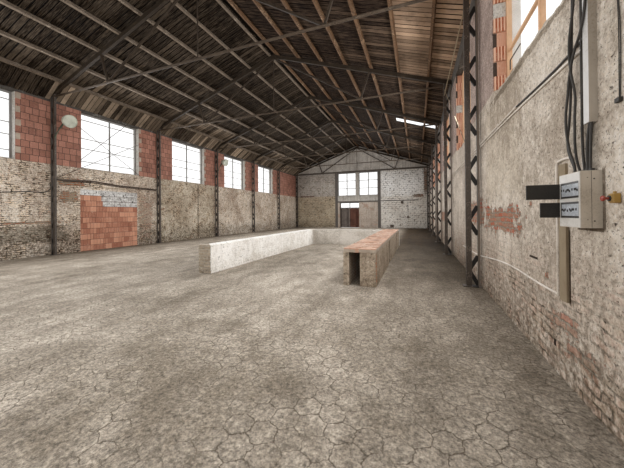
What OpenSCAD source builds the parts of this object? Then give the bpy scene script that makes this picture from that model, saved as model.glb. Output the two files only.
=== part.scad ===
// Single-storey factory hall: brick side walls with high windows, lattice steel
// columns, light steel trusses, purlins under a boarded roof, and a walled
// basin with a heating duct in the middle of the floor.
// Millimetres, +Z up, X across the hall, +Y towards the gable with the doors.
// The origin is under the middle of the hall, on the ground.

/* [Hall] */
// Number of bays along the hall
bays = 7; // [5:1:8]
// Length of one bay between column lines
bay = 4660; // [4300:10:5200]
// Clear width between the side walls
hall_w = 14500; // [13800:100:16000]
// Thickness of the outer walls
wall_t = 400; // [300:10:500]
// Thickness of the floor slab
floor_t = 150; // [100:10:250]

/* [Side windows] */
// Height of the window sills above the floor
sill_h = 3530; // [3350:10:3600]
// Height of the window openings
window_h = 2420; // [2200:10:2430]
// Width of the window openings
window_w = 2600; // [2000:50:3000]
// Distance from the inner wall face to the window frames
window_inset = 190; // [120:10:220]
// Width of the window frame bars
frame_w = 60; // [40:5:90]
// Depth of the window frame bars
frame_d = 70; // [50:5:80]
// Width of the upright in the middle of a window frame
mullion_w = 30; // [20:5:60]
// Thickness of the window glass
glass_t = 6; // [4:1:10]

/* [Roof] */
// Height of the rafter undersides above the floor at the columns
rafter_foot_h = 6200; // [6150:10:6400]
// Height of the rafter undersides above the floor at the ridge
ridge_h = 8600; // [8400:50:9000]
// Depth of the rafters, square to the slope
rafter_d = 140; // [120:5:180]
// Width of the rafters along the hall
rafter_w = 100; // [80:5:120]
// Diameter of the tie rods across the hall
tie_dia = 70; // [50:2:80]
// Height of the tie rods above the floor
tie_h = 6130; // [6110:5:6140]
// Distance of the truss nodes from the middle of the hall
truss_node_x = 3950; // [3700:50:4200]
// Width of the truss struts and diagonals
web_w = 60; // [45:5:70]
// Width of the hanger bars in the middle of the trusses
hanger_w = 30; // [20:5:50]
// Number of purlins on each slope
purlins = 7; // [5:1:8]
// Distance of the first purlin from the ridge
purlin_first = 160; // [120:10:200]
// Spacing of the purlins, measured level
purlin_step = 1050; // [900:10:1120]
// Depth of the purlins
purlin_d = 120; // [100:5:160]
// Flange width of the purlins
purlin_w = 74; // [60:2:90]
// Thickness of the purlin web and flanges
purlin_t = 9; // [6:1:14]
// Thickness of the roof boards
deck_t = 25; // [20:1:40]
// Thickness of the corrugated roof covering
cover_t = 50; // [40:1:70]
// Roof overhang past the side walls
eave_over = 320; // [200:10:450]
// Roof overhang past the gables
verge_over = 220; // [100:10:350]
// Half width of the ridge cap
ridge_cap_w = 300; // [200:10:400]
// Thickness of the ridge cap
ridge_cap_t = 12; // [6:1:20]

/* [Roof gaps] */
// Distance of the narrow gap's near edge from the far gable
narrow_gap_d = 13300; // [13000:50:13500]
// Width of the narrow gap along the hall
narrow_gap_w = 300; // [200:10:300]
// Distance of the wide gap's near edge from the far gable
wide_gap_d = 12600; // [12500:50:12650]
// Width of the wide gap along the hall
wide_gap_w = 750; // [500:10:800]
// Distance of both gaps' upper ends from the middle of the hall
gap_top_x = 4900; // [4700:50:5200]
// Distance of both gaps' lower ends from the middle of the hall
gap_foot_x = 7180; // [6800:10:7200]

/* [Columns] */
// Distance from the wall face to the middle of a column's inner chord
chord_in = 230; // [200:5:260]
// Side of a column's inner chord
chord_w = 100; // [80:5:120]
// Depth of a column's chord beside the wall
back_chord_w = 40; // [30:2:70]
// Width of both chords along the hall
chord_d = 66; // [50:2:80]
// Gap between a column and the wall, for the pipes
column_gap = 28; // [28:1:45]
// Height of the lowest lacing node above the floor
lacing_first = 330; // [300:10:500]
// Spacing of the lacing nodes
lacing_step = 1015; // [900:5:1100]
// Height of each lacing bar from its node to the back chord
lacing_rise = 290; // [200:10:320]
// Width of the lacing bars
lacing_w = 75; // [50:5:90]
// Thickness of the lacing bars
lacing_t = 40; // [20:5:60]
// Number of lacing nodes in a column
lacing_nodes = 6; // [3:1:6]
// Length of the base plates across the hall
base_plate_l = 330; // [300:10:340]
// Width of the base plates along the hall
base_plate_w = 190; // [160:10:240]
// Thickness of the base plates
base_plate_t = 16; // [10:1:30]
// Distance of the end trusses and columns from the gable walls
end_line = 120; // [100:5:200]
// How far the last columns before the near gable stand from their trusses
near_column_shift = 60; // [0:5:60]

/* [Bricked-up doorway] */
// Width of the bricked-up doorway in the left wall
side_door_w = 2540; // [2000:20:2600]
// Height of that doorway up to its lintel
side_door_h = 2400; // [2100:10:2500]
// Height of its lintel
side_lintel_h = 240; // [150:10:300]
// Shift of the doorway from the middle of its bay, away from the far gable
side_door_shift = 70; // [0:10:100]
// Depth of the infill behind the wall face
infill_set = 25; // [10:5:60]

/* [Gables] */
// Clear width between the two gable posts
gateway_w = 4360; // [4200:20:4500]
// Width of the gable posts
post_w = 300; // [200:10:350]
// Height of the gateway under its beam
gateway_h = 2750; // [2700:10:2800]
// Depth of the gateway beam
gate_beam_h = 150; // [100:10:200]
// Height of the gable window sills above the floor
gable_sill_h = 3490; // [3300:10:3600]
// Height of the gable windows
gable_window_h = 2510; // [2300:10:2520]
// Width of the pier between the two gable windows
gable_pier_w = 330; // [250:10:400]
// Depth of the gable head beam
head_beam_h = 120; // [80:10:160]
// How far posts and beams stand out of the gable's face
beam_proud = 20; // [10:2:30]

/* [Doors] */
// Distance from the left gable post to the door frame
door_jamb_w = 200; // [100:10:300]
// Width of the door frame, outside
door_w = 2160; // [1900:20:2300]
// Width of the door frame bars
door_frame_w = 60; // [50:5:80]
// Depth of the door frame bars
door_frame_d = 100; // [80:5:140]
// Height of the door leaves
leaf_h = 2120; // [2000:10:2160]
// Thickness of the door leaves
leaf_t = 48; // [35:1:60]
// Clearance round the door leaves
leaf_gap = 6; // [5:0.5:10]
// Gap under the door leaves
leaf_foot_gap = 12; // [8:1:20]
// Height of the bar between the leaves and the lights over them
transom_h = 60; // [50:5:80]
// Radius of the hinge pins
pin_r = 10; // [8:1:12]
// Outer radius of the hinge eyes
eye_r = 20; // [18:1:22]
// Height of the hinge eyes
eye_h = 60; // [40:5:80]
// Distance of the hinge pins from the outer face of the doors
pin_out = 28; // [26:1:36]
// Length of the hinge straps
strap_l = 620; // [300:20:800]
// Thickness of the hinge straps
strap_t = 8; // [6:1:10]
// Height of the lower hinges above the floor
hinge_low = 320; // [250:10:500]
// Height of the upper hinges above the floor
hinge_high = 1820; // [1600:10:1950]

/* [Basin and duct] */
// Distance of the basin walls' near end from the far gable
basin_near_d = 24050; // [23000:50:24500]
// Distance of the far basin wall's inner face from the far gable
basin_far_d = 16500; // [15500:50:17000]
// Height of the white basin walls
basin_wall_h = 720; // [600:10:800]
// Thickness of the white basin walls
basin_wall_t = 390; // [250:10:450]
// Place across the hall of the left basin wall's outer face
basin_left_x = 700; // [500:50:900]
// Place across the hall of the duct's inner face
duct_left_x = 4570; // [4400:10:4700]
// Width of the heating duct
duct_w = 680; // [600:10:740]
// Height of the duct walls
duct_h = 690; // [600:10:720]
// Thickness of the duct's thin wall, on the basin side
duct_thin_t = 120; // [80:5:150]
// Thickness of the duct's thick wall, on the aisle side
duct_thick_t = 330; // [250:10:360]
// Thickness of the brick cover on the duct
duct_cover_t = 95; // [60:5:120]
// Distance of the first duct opening's near edge from the duct's near end
duct_hole_d = 2700; // [2000:50:3000]
// Width of the duct openings
duct_hole_w = 420; // [300:10:600]
// Distance between the duct openings
duct_hole_step = 3100; // [2600:50:3400]

/* [Fuse box] */
// Distance of the fuse box's far side from the column line beyond it
fuse_line_d = 3610; // [3500:10:3700]
// Width of the fuse box along the wall
fuse_w = 310; // [250:10:350]
// Depth of the fuse box
fuse_depth = 120; // [100:5:160]
// Height of the fuse box
fuse_h = 410; // [380:10:500]
// Height of the fuse box's underside above the floor
fuse_z = 1385; // [1300:5:1500]
// Length of the long open cover
long_cover_l = 230; // [150:5:260]
// Height of the long cover above the box's underside
long_cover_z = 220; // [210:2:240]
// Length of the short open cover
short_cover_l = 135; // [80:5:200]
// Height of the short cover above the box's underside
short_cover_z = 70; // [20:2:70]
// Height of an open cover
cover_h = 122; // [100:2:140]
// Thickness of an open cover
cover_plate_t = 10; // [6:1:14]
// Distance of the wall batten's near side from the fuse box
batten_gap = 160; // [110:5:190]
// Width of the wall batten
batten_w = 120; // [80:5:120]
// Thickness of the wall batten
batten_t = 20; // [15:1:30]
// Height of the wall batten's foot above the floor
batten_z = 720; // [650:10:900]
// Height of the wall batten's top above the floor
batten_top = 1920; // [1700:10:1930]

/* [Wall fittings] */
// Width of the cable trunking
trunk_w = 70; // [60:5:150]
// Depth of the cable trunking
trunk_d = 50; // [40:1:60]
// Height of the trunking's lower end above the floor
trunk_z = 2150; // [1900:10:2400]
// Diameter of the cables at the wall
cable_dia = 26; // [18:1:30]
// Gap between neighbouring cables
cable_gap = 3; // [1:0.5:3]
// Distance of the trunking from the fuse box's near side
trunk_side = 40; // [10:5:40]
// Distance of the cables from the fuse box's near side
cable_side = 190; // [150:5:190]
// Number of cables beside the trunking
cables = 4; // [2:1:4]
// Distance of the stop button's near side from the fuse box
stop_d = 195; // [100:5:300]
// Width of the stop button's housing along the wall
stop_w = 50; // [50:5:90]
// Height of the housing
stop_h = 65; // [60:5:100]
// Depth of the housing
stop_depth = 45; // [45:1:100]
// Height of the housing's underside above the floor
stop_z = 1555; // [1400:5:1700]
// Radius of the button
button_r = 20; // [12:1:25]
// How far the button stands out of its housing
button_l = 45; // [15:1:45]

/* [Wall pipes] */
// Diameter of the wall pipes
pipe_dia = 22; // [16:1:24]
// Height of the upper pipe of the pair along the right wall
pipe_h = 2870; // [2700:10:3000]
// Spacing of the pair of pipes
pipe_step = 55; // [40:5:80]
// Distance of the pair's near end from the fuse box
pair_gap = 80; // [60:5:200]
// Distance of the upright pipe beside the wall batten from the fuse box
riser_gap = 330; // [325:5:500]
// Height of the upright pipe's foot above the floor
riser_z = 740; // [600:10:800]
// Height of the upright pipe's bend above the floor
riser_top = 1950; // [1945:5:2000]
// Length of the arm from the bend towards the cables
riser_arm = 250; // [100:10:250]
// Fall of the low pipe over its length
low_pipe_fall = 150; // [0:10:200]
// Height of the rail on the left wall, at its near end
rail_h = 3010; // [2900:10:3100]
// Fall of the rail over its length
rail_fall = 130; // [0:10:200]
// Diameter of the left wall's rail
rail_dia = 26; // [20:1:30]

/* [Floodlights] */
// Radius of a floodlight's bowl
lamp_r = 250; // [180:10:280]
// Depth of the bowl
lamp_depth = 400; // [300:10:420]
// Radius of the bowl's flat back
lamp_back_r = 110; // [80:5:150]
// Depth of the bowl's straight rim
lamp_rim = 170; // [80:10:200]
// Height of a floodlight's middle above the floor
lamp_h = 5200; // [4900:10:5300]
// Distance of the bowl's back from the column
lamp_out = 60; // [20:5:120]
// Width of the floodlight's arm
lamp_arm_w = 50; // [30:5:70]
// Thickness of the arm
lamp_arm_t = 20; // [10:2:40]
// Depth of the arm's foot below the floodlight's middle
lamp_arm_h = 520; // [400:10:600]

/* [Hidden] */

// Clearance where one piece is seated on another
seat = 0.3;
hall_l = bays * bay;
half_w = hall_w / 2;
half_l = hall_l / 2;
out_w = half_w + wall_t;
out_l = half_l + wall_t;
window_head = floor_t + sill_h + window_h;
// Bays with a window on each side, counted from the far gable
window_bays = [1 : bays - 1];
chord_x = half_w - chord_in;
column_face = chord_x - chord_w / 2;
slope = (ridge_h - rafter_foot_h) / chord_x;
pitch = atan(slope);
deck_base = rafter_d + purlin_d + 2 * seat;
cover_base = deck_base + deck_t + seat;
cover_top = cover_base + cover_t;
post_x = gateway_w / 2;
gable_head = floor_t + gable_sill_h + gable_window_h;
gate_beam_z = floor_t + gateway_h;
gable_light_w = (gateway_w - gable_pier_w) / 2;
door_x = -post_x + door_jamb_w;
leaf_w = (door_w - 2 * door_frame_w - 3 * leaf_gap) / 2;
leaf_z = floor_t + leaf_foot_gap;
transom_z = leaf_z + leaf_h + leaf_gap;
pin_y = out_l + pin_out;
pin_x = leaf_gap / 2;
side_bay = bays - 3;
side_door_d = (side_bay + 0.5) * bay + side_door_shift;
box_x = half_w - fuse_depth;
fuse_d = (side_bay + 1) * bay + fuse_line_d;

// Height of the rafter underside above the ground at a place across the hall
function under(x) = floor_t + ridge_h - slope * abs(x);
// Height of a layer of the roof that lies t above the rafter undersides
function layer(x, t) = under(x) + t / cos(pitch);
// Place along the hall of something a distance d from the far gable
function back(d) = half_l - d;
// Place along the hall of column line k, with the end lines beside the gables
function line_y(k) = k == 0 ? half_l - end_line : k == bays ? end_line - half_l : back(k * bay);
// Place along the hall of the columns at line k
function column_y(k) = line_y(k) - (k == bays - 1 ? near_column_shift : 0);

// Extrudes a cross-section of the hall from y0 to y1
module along_y(y0, y1) {
    translate([0, y1, 0])
        rotate([90, 0, 0])
            linear_extrude(height = y1 - y0)
                children();
}

// Extrudes a cross-section by w about the XZ plane
module along(w) {
    translate([0, w / 2, 0])
        rotate([90, 0, 0])
            linear_extrude(height = w)
                children();
}

// Extrudes a cross-section by w about a column line
module at_line(k, w) {
    along_y(line_y(k) - w / 2, line_y(k) + w / 2)
        children();
}

// A box given by its two corners
module block(a, b) {
    translate(a)
        cube(b - a);
}

// A straight bar of width w between two points of a cross-section
module bar_2d(a, b, w) {
    run = norm(b - a);
    translate(a)
        rotate(atan2(b[1] - a[1], b[0] - a[0]))
            translate([0, -w / 2])
                square([run, w]);
}

// A band of the right-hand roof slope between two layers
module slope_2d(t0, t1, x0, x1) {
    polygon([
        [x0, layer(x0, t0)],
        [x1, layer(x1, t0)],
        [x1, layer(x1, t1)],
        [x0, layer(x0, t1)]
    ]);
}

module floor_slab() {
    color("darkkhaki")
        block([-half_w, -half_l, 0], [half_w, half_l, floor_t]);
}

// The side wall up to the window sills, on the right
module lower_wall() {
    block([half_w, -out_l, 0], [out_w, out_l, floor_t + sill_h]);
}

module left_lower_wall() {
    color("tan")
        difference() {
            mirror([1, 0, 0])
                lower_wall();
            block(
                [-out_w - 1, back(side_door_d + side_door_w / 2), floor_t],
                [-half_w + 1, back(side_door_d - side_door_w / 2), floor_t + side_door_h + side_lintel_h]
            );
        }
}

module right_lower_wall() {
    color("tan")
        lower_wall();
}

// The wall between and beside the windows of the right-hand side
module window_piers() {
    z0 = floor_t + sill_h;
    difference() {
        block([half_w, -out_l, z0], [out_w, out_l, window_head]);
        for (i = window_bays)
            translate([half_w - 1, back((i + 0.5) * bay) - window_w / 2, z0 - 1])
                cube([wall_t + 2, window_w, window_h + 2]);
    }
}

module left_window_piers() {
    color("indianred")
        mirror([1, 0, 0])
            window_piers();
}

module right_window_piers() {
    color("indianred")
        window_piers();
}

// The beam over the windows of the right-hand side, cut to the roof's slope
module eaves_beam() {
    along_y(-out_l, out_l)
        polygon([
            [half_w, window_head],
            [out_w, window_head],
            [out_w, layer(out_w, deck_base - seat)],
            [half_w, layer(half_w, deck_base - seat)]
        ]);
}

module eaves_beams() {
    color("dimgray") {
        eaves_beam();
        mirror([1, 0, 0])
            eaves_beam();
    }
}

module doorway_infill() {
    color("indianred")
        block(
            [-out_w, back(side_door_d + side_door_w / 2), floor_t],
            [-half_w - infill_set, back(side_door_d - side_door_w / 2), floor_t + side_door_h]
        );
}

module doorway_lintel() {
    color("whitesmoke")
        block(
            [-out_w, back(side_door_d + side_door_w / 2), floor_t + side_door_h],
            [-half_w, back(side_door_d - side_door_w / 2), floor_t + side_door_h + side_lintel_h]
        );
}

// The front view of a frame with one upright in the middle, from its corner
module light_2d(w, h) {
    light_w = (w - 2 * frame_w - mullion_w) / 2;
    difference() {
        square([w, h]);
        for (x = [frame_w, frame_w + light_w + mullion_w])
            translate([x, frame_w])
                square([light_w, h - 2 * frame_w]);
    }
}

// One side window's frame, set in the right-hand wall of bay i
module side_frame(i) {
    translate([half_w + window_inset, back((i + 0.5) * bay) - window_w / 2, floor_t + sill_h])
        rotate([90, 0, 90])
            linear_extrude(height = frame_d)
                light_2d(window_w, window_h);
}

module side_frames() {
    for (i = window_bays)
        side_frame(i);
}

module left_window_frames() {
    color("gray")
        mirror([1, 0, 0])
            side_frames();
}

module right_window_frames() {
    color("sandybrown")
        side_frames();
}

// The glass behind the frames of the right-hand windows
module side_panes() {
    x0 = half_w + window_inset + frame_d + seat;
    for (i = window_bays)
        translate([x0, back((i + 0.5) * bay) - window_w / 2 + seat, floor_t + sill_h + seat])
            cube([glass_t, window_w - 2 * seat, window_h - 2 * seat]);
}

module left_window_panes() {
    color("lightcyan", 0.4)
        mirror([1, 0, 0])
            side_panes();
}

module right_window_panes() {
    color("lightcyan", 0.4)
        side_panes();
}

// Places its children at the left corner of each far gable window
module at_gable_windows() {
    for (x = [-post_x, gable_pier_w / 2])
        translate([x, half_l + window_inset, floor_t + gable_sill_h])
            children();
}

// One gable window frame, from its lower left corner, outwards
module gable_frame() {
    translate([0, frame_d, 0])
        rotate([90, 0, 0])
            linear_extrude(height = frame_d)
                light_2d(gable_light_w, gable_window_h);
}

module gable_window_frames() {
    color("gray")
        for (s = [0, 1])
            mirror([0, s, 0])
                at_gable_windows()
                    gable_frame();
}

// The glass of the door's top lights lies inside the door frame
module top_light_panes() {
    z0 = transom_z + transom_h + seat;
    z1 = gate_beam_z - door_frame_w - seat;
    w = (door_w - 3 * door_frame_w) / 2 - 2 * seat;
    for (s = [0, 1])
        translate([
            door_x + door_frame_w + seat + s * (door_w - door_frame_w) / 2,
            out_l - door_frame_d / 2,
            z0
        ])
            cube([w, glass_t, z1 - z0]);
}

module gable_window_panes() {
    color("lightcyan", 0.4) {
        for (s = [0, 1])
            mirror([0, s, 0])
                at_gable_windows()
                    translate([seat, frame_d + seat, seat])
                        cube([gable_light_w - 2 * seat, glass_t, gable_window_h - 2 * seat]);
        top_light_panes();
    }
}

// The gable wall from a post to the side wall, on the right
module gable_side(y0, y1) {
    block([post_x + post_w, y0, 0], [half_w, y1, gable_head]);
}

module far_gable_walls() {
    color("silver") {
        gable_side(half_l, out_l);
        mirror([1, 0, 0])
            gable_side(half_l, out_l);
    }
}

// The wall between the posts from height z0 up, with two windows over the sill
module gable_middle_2d(z0) {
    sill = floor_t + gable_sill_h;
    translate([-post_x, z0])
        square([2 * post_x, sill - z0]);
    translate([-gable_pier_w / 2, sill])
        square([gable_pier_w, gable_window_h]);
}

module far_gable_spandrel() {
    color("gray")
        along_y(half_l, out_l)
            gable_middle_2d(gate_beam_z + gate_beam_h);
}

module near_gable_wall() {
    color("silver") {
        gable_side(-out_l, -half_l);
        mirror([1, 0, 0])
            gable_side(-out_l, -half_l);
        along_y(-out_l, -half_l)
            gable_middle_2d(0);
    }
}

// The wall between the head beam and the roof boards
module gable_peak_2d() {
    top = deck_base - seat;
    polygon([
        [-half_w, gable_head + head_beam_h],
        [half_w, gable_head + head_beam_h],
        [half_w, layer(half_w, top)],
        [0, layer(0, top)],
        [-half_w, layer(half_w, top)]
    ]);
}

module gable_peaks() {
    color("darkgray") {
        along_y(half_l, out_l)
            gable_peak_2d();
        along_y(-out_l, -half_l)
            gable_peak_2d();
    }
}

module gable_posts() {
    color("dimgray")
        for (sx = [0, 1])
            for (sy = [0, 1])
                mirror([sx, 0, 0])
                    mirror([0, sy, 0])
                        block([post_x, half_l - beam_proud, floor_t], [post_x + post_w, out_l, gable_head]);
}

module gable_beams() {
    color("dimgray") {
        for (s = [0, 1])
            mirror([0, s, 0])
                block([-half_w, half_l - beam_proud, gable_head], [half_w, out_l, gable_head + head_beam_h]);
        block([-post_x, half_l - beam_proud, gate_beam_z], [post_x, out_l, gate_beam_z + gate_beam_h]);
    }
}

module gateway_infill() {
    color("rosybrown") {
        block([-post_x, half_l, 0], [door_x, out_l, gate_beam_z]);
        block([door_x + door_w, half_l, 0], [post_x, out_l, gate_beam_z]);
    }
}

// Places its children at the pins of both hinges of the left leaf
module at_pins() {
    for (z = [hinge_low, hinge_high])
        translate([door_x + door_frame_w + pin_x, pin_y, floor_t + z])
            children();
}

// A hinge pin with the bracket that holds it to the frame
module gudgeon() {
    cylinder(h = eye_h, r = pin_r);
    translate([-pin_x - door_frame_w / 2, -pin_out, -strap_t])
        cube([door_frame_w / 2 + pin_x + pin_r, pin_out + pin_r, strap_t]);
}

// The brackets of both hinges at one side of the frame
module gudgeons() {
    at_pins()
        gudgeon();
}

// Mirrors its children about the middle of the door
module door_mirror() {
    mid = door_x + door_w / 2;
    translate([mid, 0, 0])
        mirror([1, 0, 0])
            translate([-mid, 0, 0])
                children();
}

// The door frame's front view, with its transom and the bar between the lights
module door_frame_2d() {
    translate([door_x, floor_t])
        square([door_frame_w, gateway_h]);
    translate([door_x + door_w - door_frame_w, floor_t])
        square([door_frame_w, gateway_h]);
    translate([door_x, gate_beam_z - door_frame_w])
        square([door_w, door_frame_w]);
    translate([door_x, transom_z])
        square([door_w, transom_h]);
    translate([door_x + (door_w - door_frame_w) / 2, transom_z])
        square([door_frame_w, gate_beam_z - transom_z]);
}

module door_frame() {
    color("saddlebrown") {
        along_y(out_l - door_frame_d, out_l)
            door_frame_2d();
        gudgeons();
        door_mirror()
            gudgeons();
    }
}

// A hinge eye with its strap along the leaf
module hinge_strap() {
    difference() {
        union() {
            translate([0, 0, seat])
                cylinder(h = eye_h - seat, r = eye_r);
            translate([0, -pin_out, seat])
                cube([strap_l, pin_out, eye_h - seat]);
        }
        translate([0, 0, -1])
            cylinder(h = eye_h + 2, r = pin_r + seat);
        translate([eye_r, strap_t - pin_out, -1])
            cube([strap_l, pin_out, eye_h + 2]);
        translate([-eye_r, -pin_out - 1, -1])
            cube([eye_r + pin_x, pin_out + 1 - pin_r - strap_t / 2, eye_h + 2]);
    }
}

// The left leaf with its straps
module door_leaf() {
    block(
        [door_x + door_frame_w + leaf_gap, out_l - leaf_t, leaf_z],
        [door_x + door_frame_w + leaf_gap + leaf_w, out_l, leaf_z + leaf_h]
    );
    at_pins()
        hinge_strap();
}

module left_door_leaf() {
    color("saddlebrown")
        door_leaf();
}

module right_door_leaf() {
    color("saddlebrown")
        door_mirror()
            door_leaf();
}

// A lattice column's front view, on the right, cut to the rafter's slope
module column_2d() {
    z0 = floor_t + base_plate_t;
    back_x = half_w - column_gap - back_chord_w;
    difference() {
        union() {
            translate([chord_x - chord_w / 2, z0])
                square([chord_w, rafter_foot_h]);
            translate([back_x, z0])
                square([back_chord_w, rafter_foot_h]);
        }
        polygon([
            [0, layer(0, 0) - seat],
            [half_w, layer(half_w, 0) - seat],
            [half_w, layer(0, 0) + rafter_foot_h],
            [0, layer(0, 0) + rafter_foot_h]
        ]);
    }
}

// The lacing bars of a column, from its inner chord to its back chord
module lacing_2d() {
    back_x = half_w - column_gap - lacing_w / 2;
    for (i = [0 : lacing_nodes - 1])
        for (s = [-1, 1])
            bar_2d(
                [chord_x, floor_t + lacing_first + i * lacing_step],
                [back_x, floor_t + lacing_first + i * lacing_step + s * lacing_rise],
                lacing_w
            );
}

module columns() {
    plate_x = half_w - column_gap / 2 - base_plate_l;
    for (k = [0 : bays]) {
        along_y(column_y(k) - chord_d / 2, column_y(k) + chord_d / 2)
            column_2d();
        along_y(column_y(k) - lacing_t / 2, column_y(k) + lacing_t / 2)
            lacing_2d();
        translate([plate_x, column_y(k) - base_plate_w / 2, floor_t])
            cube([base_plate_l, base_plate_w, base_plate_t]);
    }
}

module left_columns() {
    color("dimgray")
        mirror([1, 0, 0])
            columns();
}

module right_columns() {
    color("dimgray")
        columns();
}

module rafters() {
    color("dimgray")
        for (k = [0 : bays])
            for (s = [0, 1])
                mirror([s, 0, 0])
                    at_line(k, rafter_w)
                        slope_2d(0, rafter_d, seat, half_w - seat);
}

module tie_rods() {
    color("dimgray")
        for (k = [0 : bays])
            translate([0, line_y(k), floor_t + tie_h])
                rotate([0, 90, 0])
                    cylinder(h = 2 * (column_face - seat), d = tie_dia, center = true);
}

// Everything between the tie rod and the rafters on the right half
module truss_room_2d() {
    low = floor_t + tie_h + tie_dia / 2 + seat;
    polygon([
        [0, low],
        [half_w, low],
        [half_w, under(half_w) - seat],
        [0, under(0) - seat]
    ]);
}

// The strut that stands square to the rafter, grown by g on each side
module strut_2d(g) {
    foot = [truss_node_x, floor_t + tie_h];
    rise = (under(truss_node_x) - foot[1]) * cos(pitch);
    bar_2d(foot, foot + (rise + web_w) * [sin(pitch), cos(pitch)], web_w + 2 * g);
}

module diagonal_2d() {
    bar_2d([truss_node_x, floor_t + tie_h], [0, under(0)], web_w);
}

module truss_webs() {
    color("dimgray")
        for (k = [0 : bays]) {
            for (s = [0, 1])
                mirror([s, 0, 0]) {
                    at_line(k, web_w)
                        intersection() {
                            truss_room_2d();
                            strut_2d(0);
                        }
                    at_line(k, web_w)
                        difference() {
                            intersection() {
                                truss_room_2d();
                                diagonal_2d();
                            }
                            strut_2d(seat);
                            translate([-1, 0])
                                square([hanger_w / 2 + seat + 1, 2 * ridge_h]);
                        }
                }
            at_line(k, hanger_w)
                translate([-hanger_w / 2, floor_t + tie_h + tie_dia / 2 + seat])
                    square([hanger_w, under(hanger_w / 2) - tie_h - floor_t - tie_dia / 2 - 2 * seat]);
        }
}

// The section of an I-shaped purlin, standing on the origin
module purlin_2d() {
    t = purlin_t;
    w = purlin_w / 2;
    polygon([
        [-w, 0],
        [w, 0],
        [w, t],
        [t / 2, t],
        [t / 2, purlin_d - t],
        [w, purlin_d - t],
        [w, purlin_d],
        [-w, purlin_d],
        [-w, purlin_d - t],
        [-t / 2, purlin_d - t],
        [-t / 2, t],
        [-w, t]
    ]);
}

module purlin_rows() {
    for (i = [0 : purlins - 1]) {
        x = purlin_first + i * purlin_step;
        along_y(-half_l + seat, half_l - seat)
            translate([x, layer(x, rafter_d + seat)])
                rotate(-pitch)
                    purlin_2d();
    }
}

module left_purlins() {
    color("rosybrown")
        mirror([1, 0, 0])
            purlin_rows();
}

module right_purlins() {
    color("rosybrown")
        purlin_rows();
}

// One layer of the right-hand roof slope, from t0 to t1 over the rafters' foot
module roof_layer(t0, t1) {
    along_y(-out_l - verge_over, out_l + verge_over)
        slope_2d(t0, t1, seat, out_w + eave_over);
}

// Cuts the two gaps where boards and sheets are missing
module gaps_cut() {
    for (g = [[narrow_gap_d, narrow_gap_w], [wide_gap_d, wide_gap_w]])
        block(
            [gap_top_x, back(g[0]), under(half_w)],
            [gap_foot_x, back(g[0]) + g[1], layer(0, cover_top)]
        );
}

module left_roof_boards() {
    color("saddlebrown")
        mirror([1, 0, 0])
            roof_layer(deck_base, deck_base + deck_t);
}

module right_roof_boards() {
    color("saddlebrown")
        difference() {
            roof_layer(deck_base, deck_base + deck_t);
            gaps_cut();
        }
}

module left_roof_covering() {
    color("slategray")
        mirror([1, 0, 0])
            roof_layer(cover_base, cover_top);
}

module right_roof_covering() {
    color("slategray")
        difference() {
            roof_layer(cover_base, cover_top);
            gaps_cut();
        }
}

module ridge_cap() {
    t0 = cover_top + seat;
    t1 = t0 + ridge_cap_t;
    color("slategray")
        along_y(-out_l - verge_over, out_l + verge_over)
            polygon([
                [-ridge_cap_w, layer(ridge_cap_w, t0)],
                [0, layer(0, t0)],
                [ridge_cap_w, layer(ridge_cap_w, t0)],
                [ridge_cap_w, layer(ridge_cap_w, t1)],
                [0, layer(0, t1)],
                [-ridge_cap_w, layer(ridge_cap_w, t1)]
            ]);
}

module basin_walls() {
    top = floor_t + basin_wall_h;
    color("whitesmoke") {
        block([basin_left_x, back(basin_near_d), floor_t], [basin_left_x + basin_wall_t, back(basin_far_d), top]);
        block(
            [basin_left_x, back(basin_far_d), floor_t],
            [duct_left_x + duct_w, back(basin_far_d) + basin_wall_t, top]
        );
    }
}

// The duct's two side walls, with the openings of the thick one
module duct_walls() {
    y0 = back(basin_near_d);
    y1 = back(basin_far_d);
    right = duct_left_x + duct_w;
    color("tan") {
        block([duct_left_x, y0, floor_t], [duct_left_x + duct_thin_t, y1, floor_t + duct_h]);
        difference() {
            block([right - duct_thick_t, y0, floor_t], [right, y1, floor_t + duct_h]);
            for (i = [0, 1])
                translate([right - duct_thick_t - 1, y0 + duct_hole_d + i * duct_hole_step, floor_t - 1])
                    cube([duct_thick_t + 2, duct_hole_w, duct_h + 2]);
        }
    }
}

module duct_cover() {
    color("lightsalmon")
        block(
            [duct_left_x, back(basin_near_d), floor_t + duct_h],
            [duct_left_x + duct_w, back(basin_far_d), floor_t + duct_h + duct_cover_t]
        );
}

module fuse_box() {
    color("gainsboro")
        block(
            [box_x, back(fuse_d + fuse_w), floor_t + fuse_z],
            [half_w, back(fuse_d), floor_t + fuse_z + fuse_h]
        );
}

// The two open covers, hinged at the far edge of the box's front
module fuse_box_covers() {
    y0 = back(fuse_d) - cover_plate_t;
    color("black")
        for (c = [[long_cover_l, long_cover_z], [short_cover_l, short_cover_z]])
            translate([box_x - seat - c[0], y0, floor_t + fuse_z + c[1]])
                cube([c[0], cover_plate_t, cover_h]);
}

// An upright batten on the wall beyond the fuse box
module wall_batten() {
    color("peru")
        block(
            [half_w - batten_t, back(fuse_d - batten_gap), floor_t + batten_z],
            [half_w, back(fuse_d - batten_gap) + batten_w, floor_t + batten_top]
        );
}

// A round push button on its housing at the wall
module stop_button() {
    y0 = back(fuse_d + fuse_w + stop_d);
    z0 = floor_t + stop_z;
    face = half_w - stop_depth;
    color("goldenrod") {
        block([face, y0, z0], [half_w, y0 + stop_w, z0 + stop_h]);
        translate([face - button_l, y0 + stop_w / 2, z0 + stop_h / 2])
            rotate([0, 90, 0])
                cylinder(h = button_l + stop_depth / 2, r = button_r);
    }
}

module cable_trunking() {
    y0 = back(fuse_d + fuse_w) + trunk_side;
    color("silver")
        block([half_w - trunk_d, y0, floor_t + trunk_z], [half_w, y0 + trunk_w, window_head]);
}

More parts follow.
